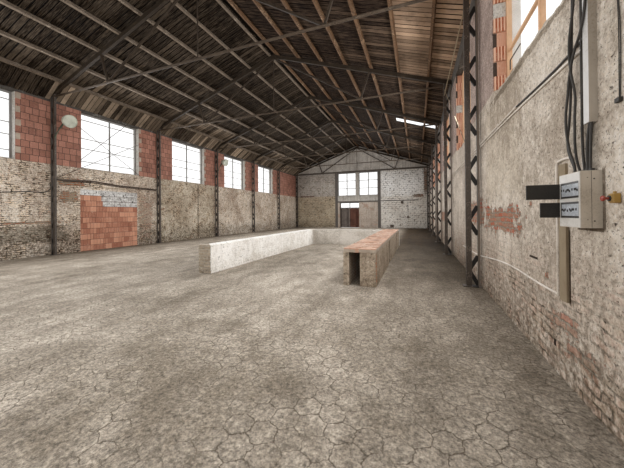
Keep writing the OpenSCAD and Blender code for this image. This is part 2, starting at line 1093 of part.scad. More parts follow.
// Black cables that rise from the fuse box beside the trunking
module wall_cables() {
    y0 = back(fuse_d + fuse_w) + cable_side;
    z0 = floor_t + fuse_z + fuse_h;
    color("black")
        for (i = [0 : cables - 1])
            translate([half_w - cable_dia / 2 - seat, y0 + (i + 0.5) * (cable_dia + cable_gap), z0 + seat])
                cylinder(h = window_head - z0, d = cable_dia);
}

// A round pipe between two points
module pipe(a, b, dia) {
    run = b - a;
    level = norm([run[0], run[1]]);
    translate(a)
        rotate([0, atan2(level, run[2]), atan2(run[1], run[0])])
            cylinder(h = norm(run), d = dia);
}

// The pair of pipes over the fuse box, along the right wall
module pipe_pair(x) {
    for (i = [0, 1])
        pipe(
            [x, back(fuse_d - pair_gap), floor_t + pipe_h - i * pipe_step],
            [x, half_l - bay, floor_t + pipe_h - i * pipe_step],
            pipe_dia
        );
}

// The upright pipe beside the batten, its arm at the top and the low pipe
module riser(x) {
    y = back(fuse_d - riser_gap);
    low = floor_t + riser_z;
    high = floor_t + riser_top;
    clear = pipe_dia / 2 + seat;
    pipe([x, y, low + clear], [x, y, high - clear], pipe_dia);
    pipe([x, y - riser_arm, high], [x, y + pipe_dia / 2, high], pipe_dia);
    pipe([x, y - pipe_dia / 2, low], [x, back(side_bay * bay) - bay / 2, low - low_pipe_fall], pipe_dia);
}

// The rail across the doorway's bay of the left wall
module wall_rail() {
    x = -half_w + rail_dia / 2 + seat;
    z = floor_t + rail_h;
    pipe([x, back((side_bay + 1) * bay), z], [x, back(side_bay * bay), z - rail_fall], rail_dia);
}

module wall_pipes() {
    x = half_w - pipe_dia / 2 - seat;
    color("darkgray") {
        pipe_pair(x);
        riser(x);
        wall_rail();
    }
}

// The closed bowl of a floodlight, facing +Z, from its back
module bowl() {
    rotate_extrude($fn = 48)
        polygon([
            [0, 0],
            [lamp_back_r, 0],
            [lamp_r, lamp_depth - lamp_rim],
            [lamp_r, lamp_depth],
            [0, lamp_depth]
        ]);
}

// The arm of a floodlight, from the column up to the bowl's back
module lamp_arm_2d() {
    intersection() {
        bar_2d([-lamp_arm_w, -lamp_arm_h], [lamp_out, -lamp_back_r / 2], lamp_arm_w);
        translate([0, -2 * lamp_arm_h])
            square([lamp_out - seat, 3 * lamp_arm_h]);
    }
}

// A floodlight at the left column of line k, facing the middle of the hall
module floodlight(k) {
    translate([-column_face + seat, line_y(k), floor_t + lamp_h]) {
        along(lamp_arm_t)
            lamp_arm_2d();
        translate([lamp_out, 0, 0])
            rotate([0, 90, 0])
                bowl();
    }
}

module floodlights() {
    color("gainsboro")
        for (k = [side_bay - 1, side_bay + 1])
            floodlight(k);
}

floor_slab();
left_lower_wall();
right_lower_wall();
left_window_piers();
right_window_piers();
eaves_beams();
doorway_infill();
doorway_lintel();
left_window_frames();
right_window_frames();
gable_window_frames();
left_window_panes();
right_window_panes();
gable_window_panes();
far_gable_walls();
far_gable_spandrel();
near_gable_wall();
gable_peaks();
gable_posts();
gable_beams();
gateway_infill();
door_frame();
left_door_leaf();
right_door_leaf();
left_columns();
right_columns();
rafters();
tie_rods();
truss_webs();
left_purlins();
right_purlins();
left_roof_boards();
right_roof_boards();
left_roof_covering();
right_roof_covering();
ridge_cap();
basin_walls();
duct_walls();
duct_cover();
fuse_box();
fuse_box_covers();
wall_batten();
stop_button();
cable_trunking();
wall_cables();
wall_pipes();
floodlights();
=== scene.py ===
"""Dresses the factory building: an empty brick hall with steel roof trusses, seen from inside."""
import logging
import math
import random
from contextlib import contextmanager
from dataclasses import dataclass, field
from enum import Enum
from functools import partial
from typing import Callable, Iterator, Mapping, NamedTuple, Optional, Sequence, Union

import bpy
from mathutils import Matrix, Vector


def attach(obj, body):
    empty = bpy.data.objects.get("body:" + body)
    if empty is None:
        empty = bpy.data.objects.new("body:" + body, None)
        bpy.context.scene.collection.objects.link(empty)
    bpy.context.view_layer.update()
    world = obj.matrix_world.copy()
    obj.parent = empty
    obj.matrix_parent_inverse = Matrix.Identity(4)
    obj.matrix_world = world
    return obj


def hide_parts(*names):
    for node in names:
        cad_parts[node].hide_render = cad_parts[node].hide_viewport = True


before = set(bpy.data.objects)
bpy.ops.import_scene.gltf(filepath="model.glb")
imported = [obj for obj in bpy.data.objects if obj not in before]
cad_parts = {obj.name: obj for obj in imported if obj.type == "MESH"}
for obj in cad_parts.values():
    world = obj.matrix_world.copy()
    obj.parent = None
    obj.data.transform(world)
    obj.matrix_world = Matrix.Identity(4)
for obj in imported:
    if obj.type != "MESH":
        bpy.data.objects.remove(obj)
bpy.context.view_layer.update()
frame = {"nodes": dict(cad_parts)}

log = logging.getLogger("factory_building")

Point = tuple[float, float, float]
Pair = tuple[float, float]
Tones = tuple[str, str]
Piece = bpy.types.Object
Material = bpy.types.Material
Socket = bpy.types.NodeSocket
Adder = Callable[..., Socket]

# Round pieces are shaded smooth where their faces meet at less than this, in degrees.
ROUND = 40.0


class Body(Enum):
    """The bodies of the model that a piece can ride on."""

    BUILDING = "building"
    LEFT_LEAF = "left_leaf"
    RIGHT_LEAF = "right_leaf"


class Side(Enum):
    """Which long side of the hall a piece stands on."""

    LEFT = -1.0
    RIGHT = 1.0


def linear(hex_code: str) -> tuple[float, float, float, float]:
    """Turns an sRGB hex colour into the linear colour that a shader reads.

    Args:
        hex_code: Six hexadecimal digits, such as "b4a999".

    Returns:
        Red, green, blue and alpha.
    """
    parts = [int(hex_code[i:i + 2], 16) / 255 for i in (0, 2, 4)]
    red, green, blue = [c / 12.92 if c <= 0.04045 else ((c + 0.055) / 1.055) ** 2.4 for c in parts]
    return red, green, blue, 1.0


def node(tree: bpy.types.NodeTree, kind: str, feeds: Union[Mapping, Sequence] = (), out: int = 0,
        **settings: object) -> Socket:
    """Adds one shader node, sets it up and links it.

    Args:
        tree: The material's node tree.
        kind: The node's type without its ShaderNode prefix, then its operation or way of blending.
        feeds: What goes in its inputs, in order or by name: a number, a colour, a hex code or another's output.
        out: Which output to hand back.
        **settings: The node's own settings.

    Returns:
        The chosen output.
    """
    kind, _, deed = kind.partition(" ")
    made = tree.nodes.new("ShaderNode" + kind)
    if deed:
        settings["blend_type" if kind == "MixRGB" else "operation"] = deed
    for key, value in settings.items():
        setattr(made, key, value)
    for key, value in feeds.items() if isinstance(feeds, Mapping) else enumerate(feeds):
        if isinstance(value, Socket):
            tree.links.new(value, made.inputs[key])
        else:
            made.inputs[key].default_value = linear(value) if isinstance(value, str) else value
    return made.outputs[out]


class Look(NamedTuple):
    """What a finish gives its shader."""

    colour: Socket
    roughness: Socket
    height: Socket
    depth: float
    cover: Optional[Socket] = None


@dataclass(frozen=True)
class Finish:
    """A surface of one real material. Subclasses draw what the eye sees on it."""

    name: str
    ior: float = 1.5
    metallic: float = 0.0
    rough: Pair = (0.6, 0.9)

    def draw(self, add: Adder, place: Socket) -> Look:
        """Draws the finish's pattern.

        Args:
            add: Adds a node to the material.
            place: The place on the piece in metres.

        Returns:
            The colour, roughness and height of the surface.
        """
        raise NotImplementedError

    def build(self) -> Material:
        """Makes the material.

        Returns:
            The finished material.
        """
        material = bpy.data.materials.new(self.name)
        material.use_nodes = True
        tree = material.node_tree
        shader = tree.nodes["Principled BSDF"]
        shader.inputs["IOR"].default_value = self.ior
        shader.inputs["Metallic"].default_value = self.metallic
        add = partial(node, tree)
        look = self.draw(add, add("TexCoord", out=3))
        tree.links.new(look.colour, shader.inputs["Base Color"])
        tree.links.new(look.roughness, shader.inputs["Roughness"])
        bump = add("Bump", {"Height": look.height, "Strength": 1.0, "Distance": look.depth})
        tree.links.new(bump, shader.inputs["Normal"])
        if look.cover:
            tree.links.new(look.cover, shader.inputs["Alpha"])
        return material


@dataclass(frozen=True)
class Zone:
    """A part of a wall with its own coat: the brick laid bare, a limewash of another colour, or a painted shadow."""

    u: float
    v: float
    half_u: float
    half_v: float
    wash_and_shadow: Optional[Tones] = None
    ragged: float = 0.8
    strength: float = 1.0


@dataclass(frozen=True)
class OldWall(Finish):
    """Brick under worn lime plaster: trowelled, stained by rain, with pits and bare courses."""

    ior: float = 1.2
    origin: Pair = (0.0, 0.0)
    plaster: Tones = ("b9ad9c", "877a6a")
    brick: Tones = ("8f6350", "6f6256")
    mortar: str = "9d9282"
    unit: Pair = (0.25, 0.075)
    joint: float = 0.012
    bare: float = 0.0
    coursing: float = 0.35
    coursing_top: float = 20.0
    damp: str = "5d5a4c"
    damp_top: float = 1.2
    damp_share: float = 0.7
    pits: float = 0.6
    pit_grain: Pair = (34.0, 15.0)
    pit_level: float = 0.6
    chips: float = 0.5
    bite: float = 0.35
    tint: float = 0.35
    streaks: float = 0.35
    zones: tuple[Zone, ...] = ()

    def draw(self, add: Adder, place: Socket) -> Look:
        """Draws plaster, streaks, pits, brick courses and damp.

        Args:
            add: Adds a node to the material.
            place: The place on the piece in metres.

        Returns:
            The wall's look.
        """
        xyz = add("SeparateXYZ", [place]).node.outputs
        across = add("Math ADD", [add("Math ADD", [xyz[0], xyz[1]]), -sum(self.origin)])
        flat = add("CombineXYZ", [across, xyz[2], 0.0])
        shifted = flat
        # Courses wander 30 mm over a metre, and each arris by some 10 mm.
        for scale, reach in ((2.5, 0.09), (11.0, 0.045)):
            wander = add("TexNoise", {"Vector": place, "Scale": scale, "Detail": 3.0}, out=1)
            wander = add("VectorMath SCALE", {0: add("VectorMath SUBTRACT", [wander, (0.5, 0.5, 0.5)]), 3: reach})
            shifted = add("VectorMath ADD", [shifted, wander])
        # Noise by scale, detail and roughness, from stains metres wide to single grains.
        cloud, wear, patch, edge, grain, sand, speck = (
            add("TexNoise", {"Vector": place, "Scale": scale, "Detail": detail, "Roughness": rough})
            for scale, detail, rough in ((0.55, 5.0, 0.6), (1.3, 8.0, 0.68), (3.1, 7.0, 0.68), (7.0, 6.0, 0.72),
                (17.0, 6.0, 0.74), (42.0, 4.0, 0.8), (58.0, 2.0, 0.6)))
        tone = add("Math ADD", [add("Math ADD", [cloud, patch]), grain])
        tone = add("MapRange", [tone, 1.33, 1.67])
        coat = add("MixRGB", [tone, self.plaster[1], self.plaster[0]])
        # Rain streaks are some 150 mm apart and metres long.
        long = add("VectorMath MULTIPLY", [flat, (6.5, 0.45, 1.0)])
        streak = add("TexNoise", {"Vector": long, "Scale": 1.0, "Detail": 5.0, "Roughness": 0.65})
        streak = add("MapRange", [streak, 0.5, 0.66, 0.0, self.streaks])
        coat = add("MixRGB MULTIPLY", [streak, coat, "6b6152"])
        # Sand and trowel marks, 10 to 30 mm across.
        sand = add("MapRange", [sand, 0.36, 0.64])
        rows = add("TexBrick", {"Vector": shifted, "Color1": self.brick[0], "Color2": self.brick[1],
            "Mortar": self.mortar, "Scale": 1.0, "Mortar Size": self.joint, "Mortar Smooth": 0.4,
            "Brick Width": self.unit[0], "Row Height": self.unit[1]}).node.outputs
        bare = add("MapRange", [wear, 0.72 - 0.3 * self.bare, 0.75 - 0.3 * self.bare])
        for zone in self.zones:
            offset = add("VectorMath SUBTRACT", [flat, (zone.u, zone.v, 0.0)])
            offset = add("VectorMath MULTIPLY", [offset, (1 / zone.half_u, 1 / zone.half_v, 0.0)])
            offset = add("VectorMath ABSOLUTE", [offset])
            sides = add("SeparateXYZ", [offset]).node.outputs
            far = add("Math MAXIMUM", [sides[0], sides[1]])
            rag = add("Math MULTIPLY", [add("Math ADD", [edge, -0.5]), 2.2 * zone.ragged])
            far = add("Math ADD", [far, rag])
            mask = add("MapRange", [far, 1.04, 0.94, 0.0, zone.strength])
            if zone.wash_and_shadow is None:
                bare = add("Math MAXIMUM", [bare, mask])
            else:
                wash_and_shadow = add("MixRGB", [tone, zone.wash_and_shadow[1], zone.wash_and_shadow[0]])
                coat = add("MixRGB", [mask, coat, wash_and_shadow])
        stone = add("MixRGB OVERLAY", [0.6, rows[0], grain])
        dust = add("MapRange", [edge, 0.5, 0.62, 0.0, 0.55])
        stone = add("MixRGB", [dust, stone, self.mortar])
        # Joints show through the plaster as broken dark lines, lower down more than higher up.
        patchy = add("MapRange", [patch, 0.44, 0.58, 0.15, self.coursing])
        height = add("MapRange", [xyz[2], self.coursing_top + 0.5, self.coursing_top - 0.3])
        patchy = add("Math MULTIPLY", [patchy, height])
        show = add("Math MULTIPLY", [rows[1], patchy])
        broken = add("MapRange", [edge, 0.42, 0.54, 0.1, 1.0])
        show = add("Math MULTIPLY", [show, broken])
        coat = add("MixRGB", [show, coat, "3f352a"])
        tint = add("MixRGB", [patchy, "ffffff", rows[0]])
        coat = add("MixRGB OVERLAY", [self.bite, add("MixRGB SOFT_LIGHT", [self.tint, coat, tint]), sand])
        colour = add("MixRGB", [bare, coat, stone])
        # Pits are where lumps of plaster fell out, and chips where fresh lime shows.
        small = add("VectorMath MULTIPLY", [flat, (*self.pit_grain, 1.0)])
        holes = add("TexNoise", {"Vector": small, "Scale": 1.0, "Detail": 3.0, "Roughness": 0.6})
        chips = add("MapRange", [holes, 0.38, 0.3, 0.0, self.chips])
        holes = add("MapRange", [holes, self.pit_level, self.pit_level + 0.06])
        sparse = add("MapRange", [edge, 0.4, 0.58, 0.15, self.pits])
        holes = add("Math MULTIPLY", [holes, sparse])
        colour = add("MixRGB", [holes, add("MixRGB", [chips, colour, "ddd2c2"]), "342b22"])
        speck = add("MapRange", [speck, 0.62, 0.66, 0.0, 0.75 * self.pits])
        colour = add("MixRGB", [speck, colour, "4a3f33"])
        line = add("Math MULTIPLY", [patch, 2.0 * self.damp_top])
        low = add("Math SUBTRACT", [xyz[2], line])
        wet = add("MapRange", [low, 0.25, -0.35, 0.0, self.damp_share])
        blotch = add("MapRange", [grain, 0.62, 0.42])
        wet = add("Math MULTIPLY", [wet, blotch])
        colour = add("MixRGB MULTIPLY", [wet, colour, self.damp])
        tall = add("Math MULTIPLY", [grain, 0.7])
        for part, share in ((bare, 0.4), (show, 0.7), (holes, 1.0)):
            dip = add("Math MULTIPLY", [part, share])
            tall = add("Math SUBTRACT", [tall, dip])
        cut = add("Math MULTIPLY", [rows[1], bare])
        tall = add("Math SUBTRACT", [tall, cut])
        rough = add("MapRange", [grain, 0.3, 0.7, self.rough[0], self.rough[1]])
        return Look(colour, rough, tall, 0.02)


@dataclass(frozen=True)
class ClayBlock(Finish):
    """Extruded hollow clay block, fired orange red: upright flutes and open joints in courses."""

    origin: Pair = (0.0, 0.0)
    clay: Tones = ("a06a52", "7c4c3c")
    joint_colour: str = "5a3e33"
    unit: Pair = (0.25, 0.25)
    soot: float = 0.3

    def draw(self, add: Adder, place: Socket) -> Look:
        """Draws the blocks, their flutes and their soot.

        Args:
            add: Adds a node to the material.
            place: The place on the piece in metres.

        Returns:
            The blocks' look.
        """
        xyz = add("SeparateXYZ", [place]).node.outputs
        across = add("Math ADD", [add("Math ADD", [xyz[0], xyz[1]]), -sum(self.origin)])
        up = add("Math ADD", [xyz[2], -0.18])
        flat = add("CombineXYZ", [across, up, 0.0])
        wander = add("TexNoise", {"Vector": place, "Scale": 4.0, "Detail": 2.0}, out=1)
        wander = add("VectorMath SCALE", {0: wander, 3: 0.012})
        flat = add("VectorMath ADD", [flat, wander])
        rows = add("TexBrick", {"Vector": flat, "Color1": self.clay[0], "Color2": self.clay[1],
            "Mortar": self.joint_colour, "Scale": 1.0, "Mortar Size": 0.009, "Mortar Smooth": 0.2,
            "Brick Width": self.unit[0], "Row Height": self.unit[1]}, offset=0.5, squash=0.8,
            squash_frequency=3).node.outputs
        cloud = add("TexNoise", {"Vector": place, "Scale": 1.1, "Detail": 6.0, "Roughness": 0.6})
        fine = add("TexNoise", {"Vector": place, "Scale": 26.0, "Detail": 4.0, "Roughness": 0.7})
        colour = add("MixRGB OVERLAY", [0.45, rows[0], fine])
        dark = add("MapRange", [cloud, 0.45, 0.7, 0.0, self.soot])
        colour = add("MixRGB MULTIPLY", [dark, colour, "5c4a40"])
        pale = add("MapRange", [fine, 0.56, 0.72, 0.0, 0.4])
        colour = add("MixRGB", [pale, colour, "b69c8a"])
        # Flutes are 15 mm apart on the real block; drawn 40 mm apart so that they show.
        flute = add("Math SINE", [add("Math MULTIPLY", [across, math.tau / 0.04])])
        flute = add("Math MULTIPLY", [flute, 0.12])
        joint = add("Math MULTIPLY", [rows[1], 0.8])
        tall = add("Math SUBTRACT", [flute, joint])
        rough = add("MapRange", [fine, 0.3, 0.7, self.rough[0], self.rough[1]])
        return Look(colour, rough, tall, 0.012)


@dataclass(frozen=True)
class Coated(Finish):
    """A worked surface with a thin coat: rolled steel, moulded plastic, enamel, rubber or a rough cast."""

    rough: Pair = (0.5, 0.75)
    colours: Tones = ("3a332c", "2b2622")
    wear: str = "6a4a36"
    wear_share: float = 0.35
    dust: str = "8a7f70"
    dust_share: float = 0.3
    cloud_scale: float = 3.0
    grain_scale: float = 40.0
    depth: float = 0.001
    toned: bool = False
    under: Optional[str] = None
    near: Optional[str] = None
    painted_shade_and_chord_reach: Optional[Pair] = None

    def draw(self, add: Adder, place: Socket) -> Look:
        """Draws the coat, its worn spots and the dust on it; where asked, painted shade on faces that look down, on
        faces that look towards the near end and on steel close to the wall, and a plaster grey coat on the steel
        closest to it.

        Args:
            add: Adds a node to the material.
            place: The place on the piece in metres.

        Returns:
            The coat's look.
        """
        cloud = add("TexNoise", {"Vector": place, "Scale": self.cloud_scale, "Detail": 6.0, "Roughness": 0.62})
        grain = add("TexNoise", {"Vector": place, "Scale": self.grain_scale, "Detail": 5.0, "Roughness": 0.7})
        tone = add("MapRange", [cloud, 0.35, 0.65])
        if self.toned:
            tone = add("Attribute", out=2, attribute_name="tone")
        colour = add("MixRGB", [tone, self.colours[0], self.colours[1]])
        spots = add("MapRange", [add("Math ADD", [cloud, grain]), 1.05, 1.2, 0.0, self.wear_share])
        colour = add("MixRGB", [spots, colour, self.wear])
        facing = add("SeparateXYZ", [add("NewGeometry", out=1)]).node.outputs
        lying = add("MapRange", [facing[2], 0.2, 0.9, 0.25, 1.0])
        dusty = add("Math MULTIPLY", [add("MapRange", [grain, 0.35, 0.6, 0.0, self.dust_share]), lying])
        colour = add("MixRGB", [dusty, colour, self.dust])
        # Painted shade: faces that look down take the under colour.
        if self.under:
            below = add("MapRange", [facing[2], -0.1, -0.6])
            colour = add("MixRGB", [below, colour, self.under])
        # Painted shade: faces that look towards the near end are darkened by the near colour.
        if self.near:
            ahead = add("MapRange", [facing[1], -0.3, -0.7])
            colour = add("MixRGB MULTIPLY", [ahead, colour, self.near])
        # Painted shade: past the first reach from the hall's middle the steel is painted near black as the shade
        # between column and wall; past the second the back chord is painted plaster grey.
        if self.painted_shade_and_chord_reach:
            side = add("SeparateXYZ", [place]).node.outputs
            reach = add("Math ABSOLUTE", [side[0]])
            for start, paint in zip(self.painted_shade_and_chord_reach, ("14110f", "6f6459")):
                behind = add("MapRange", [reach, start, start + 0.004])
                colour = add("MixRGB", [behind, colour, paint])
        rough = add("MapRange", [grain, 0.3, 0.7, self.rough[0], self.rough[1]])
        return Look(colour, rough, grain, self.depth)


@dataclass(frozen=True)
class Moulded(Coated):
    """Moulded plastic: satin, with a fine grain."""

    rough: Pair = (0.3, 0.5)
    grain_scale: float = 90.0
    depth: float = 0.0004


@dataclass(frozen=True)
class Timber(Finish):
    """Sawn softwood: grain along the board, each board in its own tone: weathered, and on the roof also painted light.
    """

    ior: float = 1.15
    rough: Pair = (0.6, 0.85)
    light: str = "8a7462"
    dark: str = "4a3828"
    along: Point = (0.0, 0.0, 1.0)
    stain: str = "2c241d"
    stain_share: float = 0.5
    painted_edge_shade: float = 0.0

    def draw(self, add: Adder, place: Socket) -> Look:
        """Draws the grain, the boards' tones, the stains and painted shade on their edges.

        Args:
            add: Adds a node to the material.
            place: The place on the piece in metres.

        Returns:
            The timber's look.
        """
        # Grain lines are 4 mm apart and a few hundred long; drawn some 20 mm apart so that they show.
        stretch = tuple(3.0 if a else 55.0 for a in self.along)
        lines = add("VectorMath MULTIPLY", [place, stretch])
        lines = add("TexNoise", {"Vector": lines, "Scale": 1.0, "Detail": 5.0, "Roughness": 0.65})
        cloud = add("TexNoise", {"Vector": place, "Scale": 1.6, "Detail": 6.0, "Roughness": 0.65})
        tone = add("Attribute", out=2, attribute_name="tone")
        mixed = add("Math ADD", [add("MapRange", [lines, 0.3, 0.7, -0.15, 0.18]), tone], use_clamp=True)
        colour = add("MixRGB", [mixed, self.dark, self.light])
        stain = add("MapRange", [cloud, 0.5, 0.7, 0.0, self.stain_share])
        colour = add("MixRGB", [stain, colour, self.stain])
        # Painted shade: the boards' upright faces are darkened as the shade in the gaps between them.
        if self.painted_edge_shade:
            facing = add("SeparateXYZ", [add("NewGeometry", out=1)]).node.outputs
            upright = add("MapRange", [add("Math ABSOLUTE", [facing[2]]), 0.78, 0.6, 0.0, self.painted_edge_shade])
            colour = add("MixRGB", [upright, colour, "080605"])
        rough = add("MapRange", [lines, 0.3, 0.7, self.rough[0], self.rough[1]])
        return Look(colour, rough, lines, 0.003)


@dataclass(frozen=True)
class SettFloor(Finish):
    """Six-sided concrete setts worn smooth under dust, with fine open joints."""

    ior: float = 1.2
    setts: Tones = ("b8aea0", "83796b")
    joint_colour: str = "5a4f42"
    across: float = 0.197

    def draw(self, add: Adder, place: Socket) -> Look:
        """Draws the setts, the joints, the dust and the traffic marks.

        Args:
            add: Adds a node to the material.
            place: The place on the piece in metres.

        Returns:
            The floor's look.
        """
        spot = place
        for scale, sway in ((3.0, 0.09), (24.0, 0.05)):
            warp = add("TexNoise", {"Vector": place, "Scale": scale, "Detail": 3.0, "Roughness": 0.7}, out=1)
            warp = add("VectorMath SCALE", {0: add("VectorMath SUBTRACT", [warp, (0.5, 0.5, 0.5)]), 3: sway})
            spot = add("VectorMath ADD", [spot, warp])
        spot = add("VectorMath MULTIPLY", [add("VectorMath SCALE", {0: spot, 3: 1 / self.across}), (1.0, 1.0, 0.0)])
        # Two lattices, one offset by half a cell, make the centres of a six-sided pattern.
        period, half = (1.0, math.sqrt(3), 1.0), (0.5, math.sqrt(3) / 2, 0.0)
        nearest = []
        for shift in ((0.0, 0.0, 0.0), half):
            moved = add("VectorMath SUBTRACT", [spot, shift])
            cell = add("VectorMath SUBTRACT", [add("VectorMath WRAP", [moved, (0.0, 0.0, 0.0), period]), half])
            cell = add("VectorMath MULTIPLY", [cell, (1.0, 1.0, 0.0)])
            nearest.append((cell, add("VectorMath LENGTH", [cell], out=1)))
        closer = add("Math LESS_THAN", [nearest[0][1], nearest[1][1]])
        cell = add("MixRGB", [closer, nearest[1][0], nearest[0][0]])
        centre = add("VectorMath SUBTRACT", [spot, cell])
        mark = add("TexWhiteNoise", [centre], noise_dimensions="3D")
        reach = add("VectorMath ABSOLUTE", [cell])
        slope = add("VectorMath DOT_PRODUCT", [reach, (0.5, math.sqrt(3) / 2, 0.0)], out=1)
        first = add("SeparateXYZ", [reach]).node.outputs
        reach = add("Math MAXIMUM", [slope, first[0]])
        joint = add("MapRange", [reach, 0.477, 0.495])
        # Noise by scale, detail and roughness.
        cloud, middle, gravel, grit, fleck = (
            add("TexNoise", {"Vector": place, "Scale": scale, "Detail": detail, "Roughness": rough})
            for scale, detail, rough in ((0.33, 7.0, 0.6), (2.4, 6.0, 0.65), (19.0, 5.0, 0.85), (34.0, 8.0, 0.85),
                (60.0, 2.0, 0.7)))
        grit = add("MapRange", [grit, 0.36, 0.64])
        open_joint = add("MapRange", [middle, 0.4, 0.56, 0.12, 0.9])
        joint = add("Math MULTIPLY", [joint, open_joint])
        tone = add("MapRange", [add("Math ADD", [cloud, middle]), 0.8, 1.2])
        colour = add("MixRGB", [tone, self.setts[1], self.setts[0]])
        each = add("MapRange", [mark, 0.0, 1.0, 0.0, 0.09])
        colour = add("MixRGB OVERLAY", [0.68, add("MixRGB", [each, colour, "7d7263"]), grit])
        gravel = add("MapRange", [gravel, 0.38, 0.62])
        colour = add("MixRGB OVERLAY", [0.32, colour, gravel])
        fleck = add("MapRange", [fleck, 0.66, 0.72, 0.0, 0.6])
        colour = add("MixRGB", [fleck, colour, "e0d8cc"])
        # Wheel and shovel marks run along the hall, about 300 mm apart.
        drag = add("VectorMath MULTIPLY", [place, (2.6, 0.5, 1.0)])
        drag = add("TexNoise", {"Vector": drag, "Scale": 1.0, "Detail": 6.0, "Roughness": 0.68})
        drag = add("MapRange", [drag, 0.46, 0.68, 0.0, 0.4])
        colour = add("MixRGB MULTIPLY", [drag, colour, "7b7061"])
        side = add("SeparateXYZ", [place]).node.outputs
        edge = add("MapRange", [add("Math ABSOLUTE", [side[0]]), 4.6, 7.2, 0.0, 0.8])
        inside = add("MapRange", [side[1], -10.5, -6.0, 0.3, 1.0])
        edge = add("Math MULTIPLY", [edge, inside])
        colour = add("MixRGB MULTIPLY", [edge, colour, "857a6a"])
        # Damp has blackened the aisle between the duct and the right wall.
        aisle = add("MapRange", [side[0], 4.4, 5.3])
        beyond = add("MapRange", [side[1], -8.0, 1.0, 0.0, 1.0])
        aisle = add("Math MULTIPLY", [aisle, beyond])
        colour = add("MixRGB", [joint, add("MixRGB MULTIPLY", [aisle, colour, "7a6d5c"]), self.joint_colour])
        tall = add("Math SUBTRACT", [add("Math MULTIPLY", [grit, 0.35]), joint])
        rough = add("MapRange", [middle, 0.3, 0.7, self.rough[0], self.rough[1]])
        return Look(colour, rough, tall, 0.006)


@dataclass(frozen=True)
class DustyGlass(Finish):
    """Drawn window glass: nearly clear, with a film of dust thicker in the corners."""

    film: Pair = (0.08, 0.3)

    def draw(self, add: Adder, place: Socket) -> Look:
        """Draws the dust film and its thin spots.

        Args:
            add: Adds a node to the material.
            place: The place on the piece in metres.

        Returns:
            The glass's look.
        """
        film = add("TexNoise", {"Vector": place, "Scale": 2.2, "Detail": 6.0, "Roughness": 0.6})
        ripple = add("TexNoise", {"Vector": place, "Scale": 1.1, "Detail": 1.0})
        colour = add("MixRGB", [film, "e9eeec", "cfd0c8"])
        rough = add("MapRange", [film, 0.3, 0.7, self.rough[0], self.rough[1]])
        cover = add("MapRange", [film, 0.3, 0.7, self.film[0], self.film[1]])
        return Look(colour, rough, ripple, 0.0015, cover)


